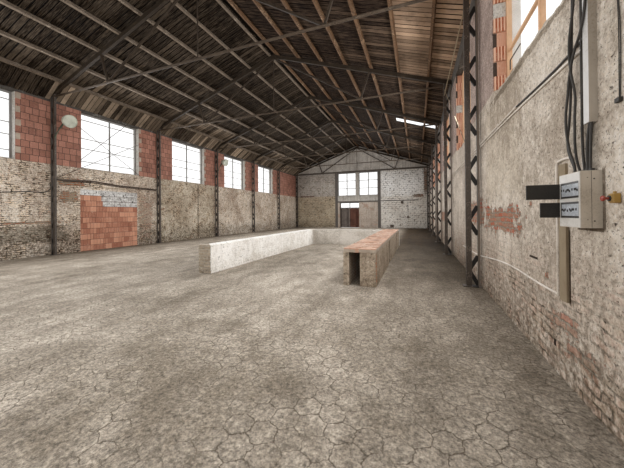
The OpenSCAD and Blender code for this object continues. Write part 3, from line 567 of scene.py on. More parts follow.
class Bench:
    """Modelling moves that the makers share. Each leaves its piece with its place in its mesh."""

    @staticmethod
    def pick(*pieces: Piece) -> None:
        """Selects these pieces alone and makes the first one active.

        Args:
            pieces: The pieces to select.
        """
        bpy.ops.object.select_all(action="DESELECT")
        for piece in pieces:
            piece.select_set(True)
        if pieces:
            bpy.context.view_layer.objects.active = pieces[0]

    @staticmethod
    @contextmanager
    def editing() -> Iterator[None]:
        """Opens the active piece in edit mode for what the block does.

        Returns:
            The time in edit mode.
        """
        bpy.ops.object.mode_set(mode="EDIT")
        yield
        bpy.ops.object.mode_set(mode="OBJECT")

    @staticmethod
    def settle(piece: Piece) -> Piece:
        """Puts the piece's place in its mesh.

        Args:
            piece: A mesh object.

        Returns:
            The same object, at the origin.
        """
        piece.data.transform(piece.matrix_basis)
        piece.matrix_basis = Matrix.Identity(4)
        return piece

    @classmethod
    def block(cls, low: Sequence[float], high: Sequence[float], edge: float = 0.0) -> Piece:
        """Makes a block between two corners with bevelled edges.

        Args:
            low: The lowest corner.
            high: The highest corner.
            edge: How far the bevel cuts back.

        Returns:
            The block.
        """
        cls.pick()
        size = [high[i] - low[i] for i in range(3)]
        middle = [(high[i] + low[i]) / 2 for i in range(3)]
        bpy.ops.mesh.primitive_cube_add(size=1.0, location=middle)
        piece = bpy.context.active_object
        piece.scale = size
        cls.settle(piece)
        if edge > 0:
            with cls.editing():
                bpy.ops.mesh.select_all(action="SELECT")
                bpy.ops.mesh.bevel(offset=edge, segments=1, affect="EDGES")
        return piece

    @classmethod
    def bar(cls, start: Sequence[float], end: Sequence[float], radius: float, sides: int = 12,
            edge: float = 0.0) -> Piece:
        """Makes a round bar between two points.

        Args:
            start: The middle of one end.
            end: The middle of the other end.
            radius: Half the bar's thickness.
            sides: How many flats go round it.
            edge: How far its end edges are bevelled.

        Returns:
            The bar.
        """
        cls.pick()
        a, b = Vector(start), Vector(end)
        bpy.ops.mesh.primitive_cylinder_add(vertices=sides, radius=radius, depth=(b - a).length)
        piece = bpy.context.active_object
        if edge > 0:
            with cls.editing():
                bpy.ops.mesh.select_all(action="DESELECT")
                bpy.ops.mesh.select_mode(type="FACE")
            for face in piece.data.polygons:
                face.select = abs(face.normal.z) > 0.9
            with cls.editing():
                bpy.ops.mesh.bevel(offset=edge, segments=2, affect="EDGES")
        turn = (b - a).to_track_quat("Z", "Y").to_matrix().to_4x4()
        piece.matrix_basis = Matrix.Translation((a + b) / 2) @ turn
        return cls.settle(piece)

    @classmethod
    def tube(cls, points: Sequence[Point], radius: float) -> Piece:
        """Makes a round tube that bends smoothly through points.

        Args:
            points: The route's points.
            radius: Half the tube's thickness.

        Returns:
            The tube as a mesh.
        """
        cls.pick()
        route = bpy.data.curves.new("route", "CURVE")
        route.dimensions, route.bevel_depth, route.bevel_resolution = "3D", radius, 2
        route.resolution_u, route.use_fill_caps = 8, True
        knots = route.splines.new("BEZIER").bezier_points
        knots.add(len(points) - 1)
        for knot, point in zip(knots, points):
            knot.co = point
            knot.handle_left_type = knot.handle_right_type = "AUTO"
        piece = bpy.data.objects.new("tube", route)
        bpy.context.collection.objects.link(piece)
        cls.pick(piece)
        bpy.ops.object.convert(target="MESH")
        return bpy.context.active_object

    @staticmethod
    def shade(piece: Piece, tone: float) -> Piece:
        """Gives a piece its own shade, for a finish that reads one.

        Args:
            piece: The piece to shade.
            tone: Its shade, from 0 to 1.

        Returns:
            The same piece.
        """
        values = piece.data.attributes.new("tone", "FLOAT", "POINT").data
        values.foreach_set("value", [tone] * len(values))
        return piece

    @classmethod
    def copy(cls, pattern: Piece, place: Matrix, tone: float) -> Piece:
        """Copies a pattern piece to a place.

        Args:
            pattern: The piece to copy.
            place: Where the copy goes.
            tone: The copy's own shade, from 0 to 1.

        Returns:
            The copy, with a mesh of its own.
        """
        made = pattern.copy()
        made.data = pattern.data.copy()
        made.data.transform(place)
        bpy.context.collection.objects.link(made)
        return cls.shade(made, tone)

    @classmethod
    def shell(cls, points: Sequence[Point], edges: Sequence = (), faces: Sequence = ()) -> Piece:
        """Makes a mesh from its points, with its faces turned outwards.

        Args:
            points: The corners.
            edges: The two corners of each loose edge.
            faces: The corners of each face.

        Returns:
            The piece, selected.
        """
        mesh = bpy.data.meshes.new("shell")
        mesh.from_pydata(points, edges, faces)
        piece = bpy.data.objects.new("shell", mesh)
        bpy.context.collection.objects.link(piece)
        cls.pick(piece)
        with cls.editing():
            bpy.ops.mesh.select_all(action="SELECT")
            bpy.ops.mesh.normals_make_consistent(inside=False)
        return piece


BARE = dict(ragged=1.3)
FINISHES = (
    # Setts of pressed concrete, worn smooth: pale dust, fine dark joints.
    SettFloor("worn_concrete_setts", rough=(0.72, 0.95)),
    # Lime plaster over brick: beige, streaked, pitted, with red courses where it has fallen.
    OldWall("right_wall_plaster", origin=(7.25, 0.0), plaster=("cfc3b4", "94887a"), pits=1.0, streaks=0.3,
        pit_grain=(15.0, 24.0), pit_level=0.645, chips=0.35, bite=0.28, tint=0.65, brick=("b5664c", "a58872"),
        coursing=0.75, coursing_top=0.95, bare=0.02, damp_top=0.7, damp="968a79",
        zones=(Zone(-1.5, 1.9, 6.2, 1.8, wash_and_shadow=("b9ad9e", "80756a"), ragged=0.4, strength=0.55),
        Zone(-8.4, 2.7, 0.9, 0.8, wash_and_shadow=("b3a692", "85796a"), ragged=1.2, strength=0.6),
        Zone(-8.3, 1.55, 0.8, 0.17, ragged=2.0), Zone(-6.5, 1.65, 0.7, 0.24, ragged=1.8),
        Zone(-10.36, 0.66, 0.2, 0.07, ragged=1.9, strength=0.65),
        Zone(-10.62, 0.48, 0.2, 0.07, ragged=1.9, strength=0.65), Zone(-9.6, 1.74, 0.035, 0.035, ragged=0.4),
        Zone(-10.0, 1.02, 0.04, 0.04, **BARE), Zone(-9.66, 1.15, 0.11, 0.012, wash_and_shadow=("3a3028", "2a221b"), ragged=0.5),
        Zone(-10.16, 0.416, 0.022, 0.03, wash_and_shadow=("2a221b", "1c1611"), ragged=0.3),
        # Painted shadow of the batten on the wall.
        Zone(-10.452, 1.18, 0.016, 0.33, wash_and_shadow=("453a2e", "2c241c"), ragged=0.25),
        # Painted shadows of the fuse box: beside its near end and under it.
        Zone(-10.925, 1.74, 0.018, 0.22, wash_and_shadow=("54483b", "3a3026"), ragged=0.1, strength=0.8),
        Zone(-10.75, 1.522, 0.17, 0.014, wash_and_shadow=("54483b", "3a3026"), ragged=0.1, strength=0.8),
        # Painted shade under the broken sill edge, with its cracks, as a dark band.
        Zone(-9.3, 3.5, 1.5, 0.05, wash_and_shadow=("6f6352", "4d4335"), ragged=1.3, strength=0.7),
        Zone(-10.98, 3.3, 0.07, 0.12, **BARE), Zone(1.5, 1.5, 1.2, 0.22, **BARE), Zone(10.5, 1.2, 0.9, 0.3, **BARE))),
    OldWall("left_wall_plaster", origin=(-7.25, 0.0), plaster=("eee1d0", "a09080"), pits=1.0, streaks=0.15,
        pit_grain=(9.0, 19.0), pit_level=0.59, bite=0.6, tint=0.5, joint=0.02, brick=("a8603f", "a08a70"),
        coursing=1.0, bare=0.16, damp_top=0.95, damp="676457", damp_share=0.7,
        zones=(Zone(-6.3, 3.05, 0.5, 0.14, **BARE), Zone(-7.6, 1.42, 0.9, 0.035, **BARE),
        Zone(-6.4, 2.45, 0.3, 0.2, **BARE), Zone(-3.0, 1.3, 0.35, 1.1, strength=0.6, **BARE),
        Zone(-8.0, 1.0, 1.5, 0.3, wash_and_shadow=("6b695a", "3f3f35"), ragged=1.0, strength=0.6),
        Zone(-2.0, 2.0, 0.14, 0.05, **BARE), Zone(0.0, 2.0, 2.25, 2.0, wash_and_shadow=("cbbfab", "9d917d"), ragged=0.15,
        strength=0.75))),
    # Hollow clay blocks: orange red, fluted, joints left open.
    ClayBlock("pier_blocks", clay=("b27d6a", "90604f"), joint_colour="533b31"),
    OldWall("right_pier_wash", origin=(7.25, 0.0), plaster=("b3a198", "8d7c74"), brick=("96604f", "84695c"),
        unit=(0.25, 0.25), coursing=0.3, bare=0.12, damp_top=0.0, pits=0.9, streaks=0.3, bite=0.4),
    Coated("reveal_blocks", toned=True, colours=("f6cdb2", "a9552f"), wear="e6c4ac", wear_share=0.4, dust="d8bca6",
        dust_share=0.2, cloud_scale=5.0, grain_scale=30.0, rough=(0.8, 0.95), depth=0.002),
    Coated("infill_blocks", toned=True, colours=("dba486", "8f4f3a"), wear="d0a68e", wear_share=0.6, dust="b89c88",
        dust_share=0.35, cloud_scale=5.0, grain_scale=30.0, rough=(0.8, 0.95), depth=0.003),
    ClayBlock("bricked_doorway", clay=("6b4a3c", "55392f"), joint_colour="3b2a23", soot=0.15),
    # Whitewashed plaster: chalky, grey where it has rubbed off.
    OldWall("whitewash", plaster=("e4e1db", "c4beb5"), brick=("a39a8e", "8d8478"), mortar="b0a89c", unit=(0.4, 0.2),
        bare=0.1, coursing=0.2, damp="b5aea0", damp_top=0.25, pits=0.6, streaks=0.2),
    OldWall("lintel_wash", origin=(-7.25, 0.0), plaster=("e6e5e3", "9b9894"), brick=("9a9088", "857c74"),
        unit=(0.46, 0.12), joint=0.024, bare=0.03, coursing=0.55, damp_top=0.0, pits=1.0, pit_grain=(9.0, 14.0),
        pit_level=0.6, streaks=0.3),
    OldWall("far_gable_wash", origin=(0.0, 16.31), plaster=("bab4ab", "989189"), unit=(0.4, 0.2),
        mortar="8e867b", bare=0.04, coursing=0.9, joint=0.03, damp="6a604f", damp_top=0.4,
        pits=1.0, pit_grain=(4.0, 6.0), pit_level=0.59, bite=0.3, streaks=0.25,
        zones=(Zone(-4.8, 1.6, 2.7, 2.05, wash_and_shadow=("baac95", "8f8370"), ragged=0.05),
        Zone(4.9, 3.0, 2.5, 3.4, wash_and_shadow=("e8e4dc", "bfb9b0"), ragged=0.05),
        Zone(4.6, 4.75, 2.2, 1.3, wash_and_shadow=("f2f1ee", "cfccc6"), ragged=0.25),
        Zone(-5.9, 3.68, 0.9, 0.06, wash_and_shadow=("6a4f45", "5c463c"), ragged=0.8), Zone(6.85, 4.9, 0.15, 1.2, **BARE),
        Zone(-2.07, 1.2, 0.085, 1.15, ragged=0.7), Zone(6.2, 3.45, 0.45, 0.14, **BARE))),
    OldWall("spandrel_wash", origin=(0.0, 16.31), plaster=("b5b1aa", "8f8a82"), unit=(0.4, 0.2),
        bare=0.0, coursing=0.3, damp="b0aba2", damp_top=0.1),
    OldWall("near_gable_plaster", origin=(0.0, -16.31), plaster=("b3aa9c", "8a7f71"), unit=(0.4, 0.2),
        bare=0.05, coursing=0.5, damp="7a7060", damp_top=0.6),
    OldWall("peak_plaster", plaster=("c6c0b8", "9f9991"), brick=("9a6a52", "7d5a48"), unit=(0.4, 0.2), bare=0.0,
        coursing=0.3, damp_top=0.0, pits=0.4, streaks=0.45),
    OldWall("gateway_blocks", origin=(0.0, 16.5), plaster=("c0b4a8", "9c9084"), brick=("b89c8c", "a38e7d"),
        mortar="9d9488", unit=(0.4, 0.2), bare=0.6, coursing=0.6, damp_top=0.2, pits=0.3),
    OldWall("basin_whitewash", plaster=("f2efe9", "cfc9bf"), brick=("aea08d", "998b79"), mortar="b0a799",
        unit=(0.25, 0.075), bare=0.03, coursing=0.12, damp="b3aa9a", damp_top=0.16, pits=0.6, pit_grain=(16.0, 16.0),
        streaks=0.2, zones=(Zone(-6.86, 0.5, 0.2, 0.45, ragged=0.5),
        Zone(3.0, 0.5, 2.4, 1.0, wash_and_shadow=("cfc8be", "aca499"), ragged=0.05))),
    OldWall("duct_masonry", plaster=("b1a391", "837564"), brick=("c08a68", "a37a60"), mortar="a39888", bare=0.05,
        coursing=0.2, damp="857b6c", damp_top=0.15, pits=0.7, pit_grain=(16.0, 16.0),
        zones=(Zone(-2.42, 0.5, 0.07, 0.3, ragged=0.6),)),
    # Fired brick laid on edge: pinkish orange, mortar smeared white.
    Coated("cover_brick", toned=True, colours=("c69a80", "97705c"), wear="c9b8a8", wear_share=0.8, dust="bfae9d",
        dust_share=0.5, cloud_scale=5.0, grain_scale=30.0, rough=(0.8, 0.95), depth=0.003),
    Coated("jamb_limewash", colours=("f4f3f0", "e4e1dc"), wear="cfcac2", wear_share=0.3, dust="eceae6",
        rough=(0.8, 0.95), grain_scale=20.0, depth=0.002),
    Coated("lime_mortar", colours=("b5a898", "a09384"), wear="8a7d6e", dust="c2b7a8", rough=(0.85, 0.95),
        grain_scale=50.0, depth=0.003),
    # Oil-painted mild steel, rolled: nearly black, rust bleeding through, dust on top.
    Coated("rafter_steel", ior=1.25, colours=("3d342a", "221b15"), wear="54473a", wear_share=0.4, dust="4d4439",
        dust_share=0.3),
    Coated("web_steel", ior=1.3, colours=("3f352b", "241d17"), wear="5c4c3e", wear_share=0.5, dust="5d5145",
        dust_share=0.3),
    Coated("tie_steel", ior=1.3, colours=("564a3e", "30271f"), wear="7d6d5c", wear_share=0.6, dust="63574a",
        dust_share=0.4),
    # Column steel: lacing painted near black as shade against the wall, back chord painted plaster grey.
    Coated("column_steel", colours=("463c33", "2b2521"), wear="7d6f63", wear_share=0.8, dust="8a8075",
        dust_share=0.35, rough=(0.45, 0.75), cloud_scale=5.0, painted_shade_and_chord_reach=(7.075, 7.181)),
    Coated("left_purlin_primer", ior=1.25, colours=("8b7d6e", "463b31"), wear="b8aa99", wear_share=0.8, dust="85786a",
        dust_share=0.4, rough=(0.55, 0.8), cloud_scale=3.0),
    Coated("right_purlin_primer", ior=1.25, colours=("745840", "38261a"), wear="b8997a", wear_share=0.8,
        dust="8d7258", dust_share=0.4, rough=(0.55, 0.8), cloud_scale=3.0),
    Coated("eaves_beam_paint", colours=("4a453f", "2f2b27"), wear="8f8a84", wear_share=0.8, dust="6f685f",
        dust_share=0.6, rough=(0.6, 0.85), cloud_scale=2.5, grain_scale=18.0, depth=0.003),
    Coated("gable_post_paint", colours=("5b5550", "453f3a"), wear="756a60", wear_share=0.6, dust="8a8278",
        rough=(0.6, 0.85), cloud_scale=2.5, grain_scale=18.0),
    Coated("window_steel_paint", colours=("8f8d8a", "74716d"), wear="6b5446", wear_share=0.5, dust="b0aca6"),
    Timber("window_timber_oiled", light="fbe4cf", dark="e8c09c", stain="8a6248", stain_share=0.35,
        rough=(0.5, 0.75)),
    # Roof boards: edges painted near black as shade in the gaps between them; their tones carry painted light.
    Timber("left_roof_board", light="b5a28d", dark="140d07", along=(1.0, 0.0, 0.3), stain="0c0805", stain_share=0.5,
        painted_edge_shade=0.95, rough=(0.75, 0.95)),
    Timber("right_roof_board", light="b99d84", dark="150b06", along=(1.0, 0.0, 0.3), stain="0c0604", stain_share=0.5,
        painted_edge_shade=0.95, rough=(0.75, 0.95)),
    Timber("door_boards", light="6b5a4e", dark="352823"),
    Timber("left_leaf_paint", light="8b817a", dark="4e4641"),
    Timber("right_leaf_paint", light="80594c", dark="4a312a"),
    Timber("batten_timber", light="b3a694", dark="968872", stain="6a5640", rough=(0.7, 0.9)),
    # Fibre-cement sheet, pressed: pale grey, lichen and rain marks down the slope; its undersides painted near black as
    # shade.
    Coated("fibre_cement_sheet", under="140d08", colours=("93908a", "77736c"), wear="5f5b50", wear_share=0.8,
        dust="a9a59c", dust_share=0.35, cloud_scale=1.2, grain_scale=14.0, rough=(0.8, 0.95), depth=0.002),
    DustyGlass("window_glass", ior=1.52, film=(0.01, 0.06), rough=(0.05, 0.3)),
    # Moulded plastics: satin, dusty, a little yellowed.
    Moulded("grey_moulding", colours=("cfc6b8", "bdb3a4"), wear="94897b", dust="d0c7ba", rough=(0.4, 0.6),
        wear_share=0.5),
    Moulded("white_moulding", colours=("d9d7d2", "c9c6c0"), wear="a09a90", dust="bdb6aa", wear_share=0.3),
    Moulded("breaker_moulding", colours=("c9cfd6", "8c949d"), wear="dfe1e3", wear_share=0.8, dust="a8a8a4",
        cloud_scale=30.0, grain_scale=120.0),
    # Trunking: its faces towards the near end painted darker as shade.
    Moulded("trunking_moulding", near="d2c8bb", colours=("e6e7e7", "c8c6c2"), wear="9b948a", dust="c9c3b8",
        wear_share=0.5, cloud_scale=1.2, grain_scale=60.0),
    Moulded("black_moulding", colours=("2b2825", "211f1d"), wear="3d3833", dust="6a6258", rough=(0.3, 0.55),
        dust_share=0.3),
    Moulded("yellow_moulding", colours=("b08a3c", "9c7a38"), wear="7a6238", dust="a8987c", rough=(0.4, 0.6),
        dust_share=0.5),
    Moulded("red_moulding", colours=("a33a28", "8c3424"), wear="6e2c20", dust="a8907c"),
    Coated("cable_rubber", colours=("2e2b28", "24221f"), wear="4a443d", dust="7a7166", rough=(0.45, 0.7),
        dust_share=0.4, grain_scale=70.0, depth=0.0005),
    Coated("conduit_metal", colours=("ebe4da", "c9c0b4"), wear="8c7e6f", dust="d5cbbd", rough=(0.35, 0.6),
        metallic=0.1, wear_share=0.4, grain_scale=50.0, depth=0.0006),
    Coated("lamp_enamel", colours=("c3c6b6", "9fa394"), wear="7d7462", dust="b8b4a6", rough=(0.3, 0.55),
        wear_share=0.4, grain_scale=40.0, depth=0.0006),
    Coated("arm_paint", colours=("4c5340", "343a2e"), wear="6d6a55", dust="75715f", rough=(0.45, 0.7)),
    Coated("rail_iron", colours=("4d3d32", "2e2520"), wear="7a6555", wear_share=0.5, dust="75695c", rough=(0.6, 0.85),
        cloud_scale=4.0),
    Coated("bare_iron", colours=("5a5048", "453d36"), wear="7a5c48", wear_share=0.7, dust="867b6e", metallic=0.5))

# The plain nodes that wear each finish.
WORN_BY = {"worn_concrete_setts": "floor_slab", "left_wall_plaster": "left_lower_wall",
    "right_wall_plaster": "right_lower_wall", "pier_blocks": "left_window_piers",
    "right_pier_wash": "right_window_piers", "eaves_beam_paint": "eaves_beams", "bricked_doorway": "doorway_infill",
    "lintel_wash": "doorway_lintel", "window_steel_paint": "left_window_frames gable_window_frames",
    "window_timber_oiled": "right_window_frames",
    "window_glass": "left_window_panes right_window_panes gable_window_panes", "far_gable_wash": "far_gable_walls",
    "spandrel_wash": "far_gable_spandrel", "near_gable_plaster": "near_gable_wall", "peak_plaster": "gable_peaks",
    "gable_post_paint": "gable_posts gable_beams", "gateway_blocks": "gateway_infill",
    "door_boards": "door_frame left_door_leaf right_door_leaf", "column_steel": "left_columns right_columns",
    "rafter_steel": "rafters", "tie_steel": "tie_rods", "web_steel": "truss_webs",
    "left_purlin_primer": "left_purlins", "right_purlin_primer": "right_purlins",
    "left_roof_board": "left_roof_boards", "right_roof_board": "right_roof_boards",
    "fibre_cement_sheet": "left_roof_covering right_roof_covering ridge_cap", "basin_whitewash": "basin_walls",
    "duct_masonry": "duct_walls", "cover_brick": "duct_cover", "grey_moulding": "fuse_box",
    "black_moulding": "fuse_box_covers", "batten_timber": "wall_batten", "yellow_moulding": "stop_button",
    "trunking_moulding": "cable_trunking", "cable_rubber": "wall_cables", "conduit_metal": "wall_pipes",
    "lamp_enamel": "floodlights"}


@dataclass
class Palette:
    """All finishes of the building, by name."""

    made: dict[str, Material] = field(default_factory=dict)

    def mix(self) -> None:
        """Builds every finish and gives the plain nodes theirs."""
        for finish in FINISHES:
            self.made[finish.name] = finish.build()
        for finish, names in WORN_BY.items():
            for name in names.split():
                for slot in frame["nodes"][name].material_slots:
                    slot.material = self.made[finish]

    def fit(self, name: str, parts: Sequence[Piece], finish: str, slot: str, body: Body = Body.BUILDING,
            replaces: Sequence[str] = (), smooth: float = 0.0) -> None:
        """Joins parts to one piece, dresses it and fixes it to its body.

        Args:
            name: The piece's name.
            parts: What it is made of.
            finish: The name of its finish.
            slot: The slot that the finish belongs to; not used.
            body: What it moves with.
            replaces: The plain nodes that it stands for.
            smooth: Faces that meet at less than this angle in degrees are shaded smooth.
        """
        Bench.pick(*parts)
        if len(parts) > 1:
            bpy.ops.object.join()
        piece = bpy.context.active_object
        piece.name = piece.data.name = name
        if smooth:
            bpy.ops.object.shade_smooth_by_angle(angle=math.radians(smooth))
        piece.data.materials.clear()
        piece.data.materials.append(self.made[finish])
        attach(piece, body.value)
        if replaces:
            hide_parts(*replaces)
        log.info("%s: %d faces", piece.name, len(piece.data.polygons))


@dataclass
class Studio:
    """The camera at the photograph's place, plain soft light and a pale floor outside."""

    eye: Point = (6.036, -13.438, 1.65)
    yaw: float = 20.805
    pitch: float = 0.293
    roll: float = -0.469
    lens: float = 15.95
    shift_y: float = -0.034
    world: float = 1.3
    window_watts: float = 190.0
    ceiling_watts: float = 430.0
    near_watts: float = 185.0

    def camera(self) -> None:
        """Sets up the camera."""
        yaw, pitch, roll = (math.radians(a) for a in (self.yaw, self.pitch, self.roll))
        ahead = Vector((-math.sin(yaw) * math.cos(pitch), math.cos(yaw) * math.cos(pitch), math.sin(pitch)))
        right = ahead.cross(Vector((0, 0, 1))).normalized()
        top = right.cross(ahead)
        across = right * math.cos(roll) + top * math.sin(roll)
        upright = top * math.cos(roll) - right * math.sin(roll)
        lens = bpy.data.cameras.new("camera")
        lens.sensor_width, lens.lens, lens.shift_y = 36.0, self.lens, self.shift_y
        lens.clip_start, lens.clip_end = 0.05, 400.0
        camera = bpy.data.objects.new("camera", lens)
        camera.matrix_world = Matrix((across, upright, -ahead)).transposed().to_4x4()
        camera.location = self.eye
        bpy.context.scene.collection.objects.link(camera)
        bpy.context.scene.camera = camera

    def panel(self, name: str, place: Point, aim: Point, size: Pair, watts: float) -> None:
        """Hangs a soft light panel that the camera doesn't see.

        Args:
            name: The light's name.
            place: Its middle.
            aim: The direction that it shines in.
            size: Its width and height.
            watts: Its power.
        """
        lamp = bpy.data.lights.new(name, "AREA")
        lamp.shape, lamp.size, lamp.size_y, lamp.energy = "RECTANGLE", size[0], size[1], watts
        lamp.color = (0.985, 0.99, 1.0)
        holder = bpy.data.objects.new(name, lamp)
        holder.rotation_mode = "QUATERNION"
        holder.rotation_quaternion = Vector(aim).to_track_quat("-Z", "Y")
        holder.location = place
        holder.visible_camera = False
        bpy.context.scene.collection.objects.link(holder)

    def build(self) -> None:
        """Sets up the camera, the light and the ground."""
        self.camera()
        sky = bpy.data.worlds.new("studio")
        bpy.context.scene.world = sky
        sky.use_nodes = True
        background = sky.node_tree.nodes["Background"]
        background.inputs[0].default_value = (1.0, 1.0, 1.0, 1.0)
        background.inputs[1].default_value = self.world
        bpy.context.scene.view_settings.view_transform = "Standard"
        for side in Side:
            for i, middle in enumerate(Windows.centres):
                self.panel(f"window_light_{side.name.lower()}_{i}", (side.value * 6.8, middle, 4.9),
                    (-side.value, 0.0, -0.3), (2.5, 2.2), self.window_watts)
        self.panel("gable_light", (0.0, 15.9, 4.9), (0.0, -1.0, -0.3), (4.2, 2.3), self.window_watts * 1.3)
        self.panel("ceiling_light", (0.0, 0.0, 6.15), (0.0, 0.0, -1.0), (12.0, 30.0), self.ceiling_watts)
        self.panel("near_light", (0.0, -15.9, 3.2), (0.0, 1.0, 0.05), (9.0, 3.5), self.near_watts)
        Bench.pick()
        bpy.ops.mesh.primitive_plane_add(size=160.0, location=(0.0, 0.0, -0.002))
        ground = bpy.context.active_object
        ground.name = "studio_floor"
        Bench.settle(ground)
        paper = Coated("studio_paper", colours=("d9d6d0", "d3d0ca"), wear="ccc8c1", dust="dedbd5", cloud_scale=0.2,
            grain_scale=5.0, rough=(0.85, 0.95))
        ground.data.materials.append(paper.build())


@dataclass
class Part:
    """A sub-assembly of the building, which takes its finishes from the palette."""

    palette: Palette


@dataclass
class RoofSlope(Part):
    """One slope of the roof: short boards on the purlins, and corrugated sheets over them."""

    side: Side
    pitch: float = math.radians(18.875)
    apex: float = 8.75
    board_under: float = 0.2606
    board_thick: float = 0.022
    sheet_under: float = 0.2862
    sheet_over: float = 0.3356
    wave: float = 0.177
    reach: Pair = (-16.925, 16.925)
    eave: float = 7.96
    purlins: tuple[float, ...] = tuple(0.16 + 1.05 * i for i in range(7))
    openings: tuple[tuple[float, float, float, float], ...] = ()
    courses: int = 4
    board_step: float = 0.185
    board_gaps: tuple[float, ...] = (0.01, 0.014, 0.02, 0.028, 0.04)
    shades: tuple[float, ...] = (0.05, 0.07, 0.1, 0.13, 0.17, 0.21, 0.26, 0.34)

    @property
    def label(self) -> str:
        """The side as the names of pieces have it."""
        return self.side.name.lower()

    def build(self) -> None:
        """Lays the boards, on the left also the eaves lining, and the sheets."""
        self.boards()
        if self.side is Side.LEFT:
            self.lining()
        self.sheets()

    def place(self, run: float, along: float, height: float) -> Matrix:
        """Gives the place and turn of something on the slope.

        Args:
            run: The level distance from the ridge.
            along: The place along the hall.
            height: The height square to the slope over the rafters' underside.

        Returns:
            A frame whose x runs along the hall, y down the slope and z out of it.
        """
        s = self.side.value
        sin, cos = math.sin(self.pitch), math.cos(self.pitch)
        origin = Vector((s * (run + height * sin), along, self.apex - run * sin / cos + height * cos))
        down, out = Vector((s * cos, 0.0, -sin)), Vector((s * sin, 0.0, cos))
        turn = Matrix((down.cross(out), down, out)).transposed().to_4x4()
        return Matrix.Translation(origin) @ turn

    def board(self, length: float, width: float) -> Piece:
        """Makes one board with its lower edges planed off.

        Args:
            length: Its length down the slope.
            width: Its width along the hall.

        Returns:
            The board, centred on its top left corner.
        """
        piece = Bench.block((-width / 2, 0.0, 0.0), (width / 2, length, self.board_thick))
        with Bench.editing():
            bpy.ops.mesh.select_all(action="DESELECT")
        for edge in piece.data.edges:
            ends = [piece.data.vertices[i].co for i in edge.vertices]
            edge.select = all(e.z < 0.001 for e in ends) and abs(ends[0].y - ends[1].y) > 0.1
        with Bench.editing():
            bpy.ops.mesh.select_mode(type="EDGE")
            bpy.ops.mesh.bevel(offset=0.005, segments=1, affect="EDGES")
        return piece

    def boards(self) -> None:
        """Lays the boards between the purlins."""
        dice = random.Random(11 if self.side is Side.LEFT else 12)
        pattern = self.board(1.0, 1.0)
        edges = sorted({self.reach[0], self.reach[1], *(y for o in self.openings for y in o[2:])})
        ends = [0.012, *self.purlins[1:], self.eave]
        shift = self.board_under * math.sin(self.pitch)
        parts = []
        for row, (top, foot) in enumerate(zip(ends, ends[1:])):
            for first, last in zip(edges, edges[1:]):
                count = max(1, round((last - first) / self.board_step))
                for i in range(count):
                    middle = first + (i + 0.5) * (last - first) / count
                    width = (last - first) / count - dice.choice(self.board_gaps)
                    start, stop = top - shift * (row > 0), foot - shift
                    for low, high, near, far in self.openings:
                        if near - 0.01 < middle < far + 0.01 and stop > low and start < high:
                            if start < low:
                                stop = low - shift
                            elif stop > high:
                                start = high - shift
                            else:
                                stop = start
                    if stop - start < 0.08:
                        continue
                    length = (stop - start) / math.cos(self.pitch) - 0.002
                    lift = dice.uniform(0.0, 0.0025)
                    where = self.place(start, middle, self.board_under + lift)
                    size = Matrix.Diagonal((width, length, 1.0, 1.0))
                    parts.append(Bench.copy(pattern, where @ size, self.tone(row, middle, dice)))
        bpy.data.objects.remove(pattern)
        self.palette.fit(f"{self.label}_sawn_boards", parts, f"{self.label}_roof_board", "roof_board",
            replaces=[f"{self.label}_roof_boards"])

    def lining(self) -> None:
        """Lays short boards from the left roof boards down to the head of the wall, between the rafters."""
        dice = random.Random(31)
        pattern = self.board(1.0, 1.0)
        top, foot = Vector((-6.53, 0.0, 6.69)), Vector((-7.228, 0.0, 6.165))
        down = (foot - top).normalized()
        out = Vector((down.z, 0.0, -down.x))
        turn = Matrix((down.cross(out), down, out)).transposed().to_4x4()
        lines = [16.19, 11.65, 6.99, 2.33, -2.33, -6.99, -11.68, -16.19]
        parts = []
        for far, near in zip(lines, lines[1:]):
            first, last = near + 0.1, far - 0.06
            count = round((last - first) / 0.175)
            for i in range(count):
                middle = first + (i + 0.5) * (last - first) / count
                width = (last - first) / count - dice.choice((0.01, 0.018, 0.028))
                place = Matrix.Translation((top.x, middle, top.z + dice.uniform(-0.004, 0.0))) @ turn
                size = Matrix.Diagonal((width, (foot - top).length * dice.uniform(0.96, 1.0), 1.0, 1.0))
                # The lining takes the eaves row's tone, painted light included.
                parts.append(Bench.copy(pattern, place @ size, self.tone(6, middle, dice)))
        bpy.data.objects.remove(pattern)
        self.palette.fit("left_eaves_lining", parts, "left_roof_board", "roof_board")

    def tone(self, row: int, along: float, dice: random.Random) -> float:
        """Shades one board: groups of neighbours weathered alike, with odd ones among them, and painted light: rows by
        the eaves paler, on the left except at the near end, on the right most at the near end.

        Args:
            row: Which row of boards, from the ridge.
            along: Its place along the hall.
            dice: The slope's own draws.

        Returns:
            A shade from 0, black, to 1, pale.
        """
        wave = math.sin(along * 1.7 + row * 2.1) + math.sin(along * 0.63 - row * 1.3 + 1.0)
        base = dice.choice(self.shades) * (1.0 + 0.35 * wave)
        # Painted light: the shares make the rows by the eaves paler, where the window light falls.
        if self.side is Side.LEFT:
            share = 0.33 if along < -7.3 else (1.9 if row == 6 else (1.2 if row == 5 else 0.33))
        elif row > 4 and along < -2.0:
            return min(1.0, 0.3 + 2.4 * base)
        else:
            share = (0.2, 0.2, 0.2, 0.3, 0.7, 1.6, 2.2)[row] * (1.0 if along < -2.0 else 0.4)
        return min(1.0, max(0.01, base * share))

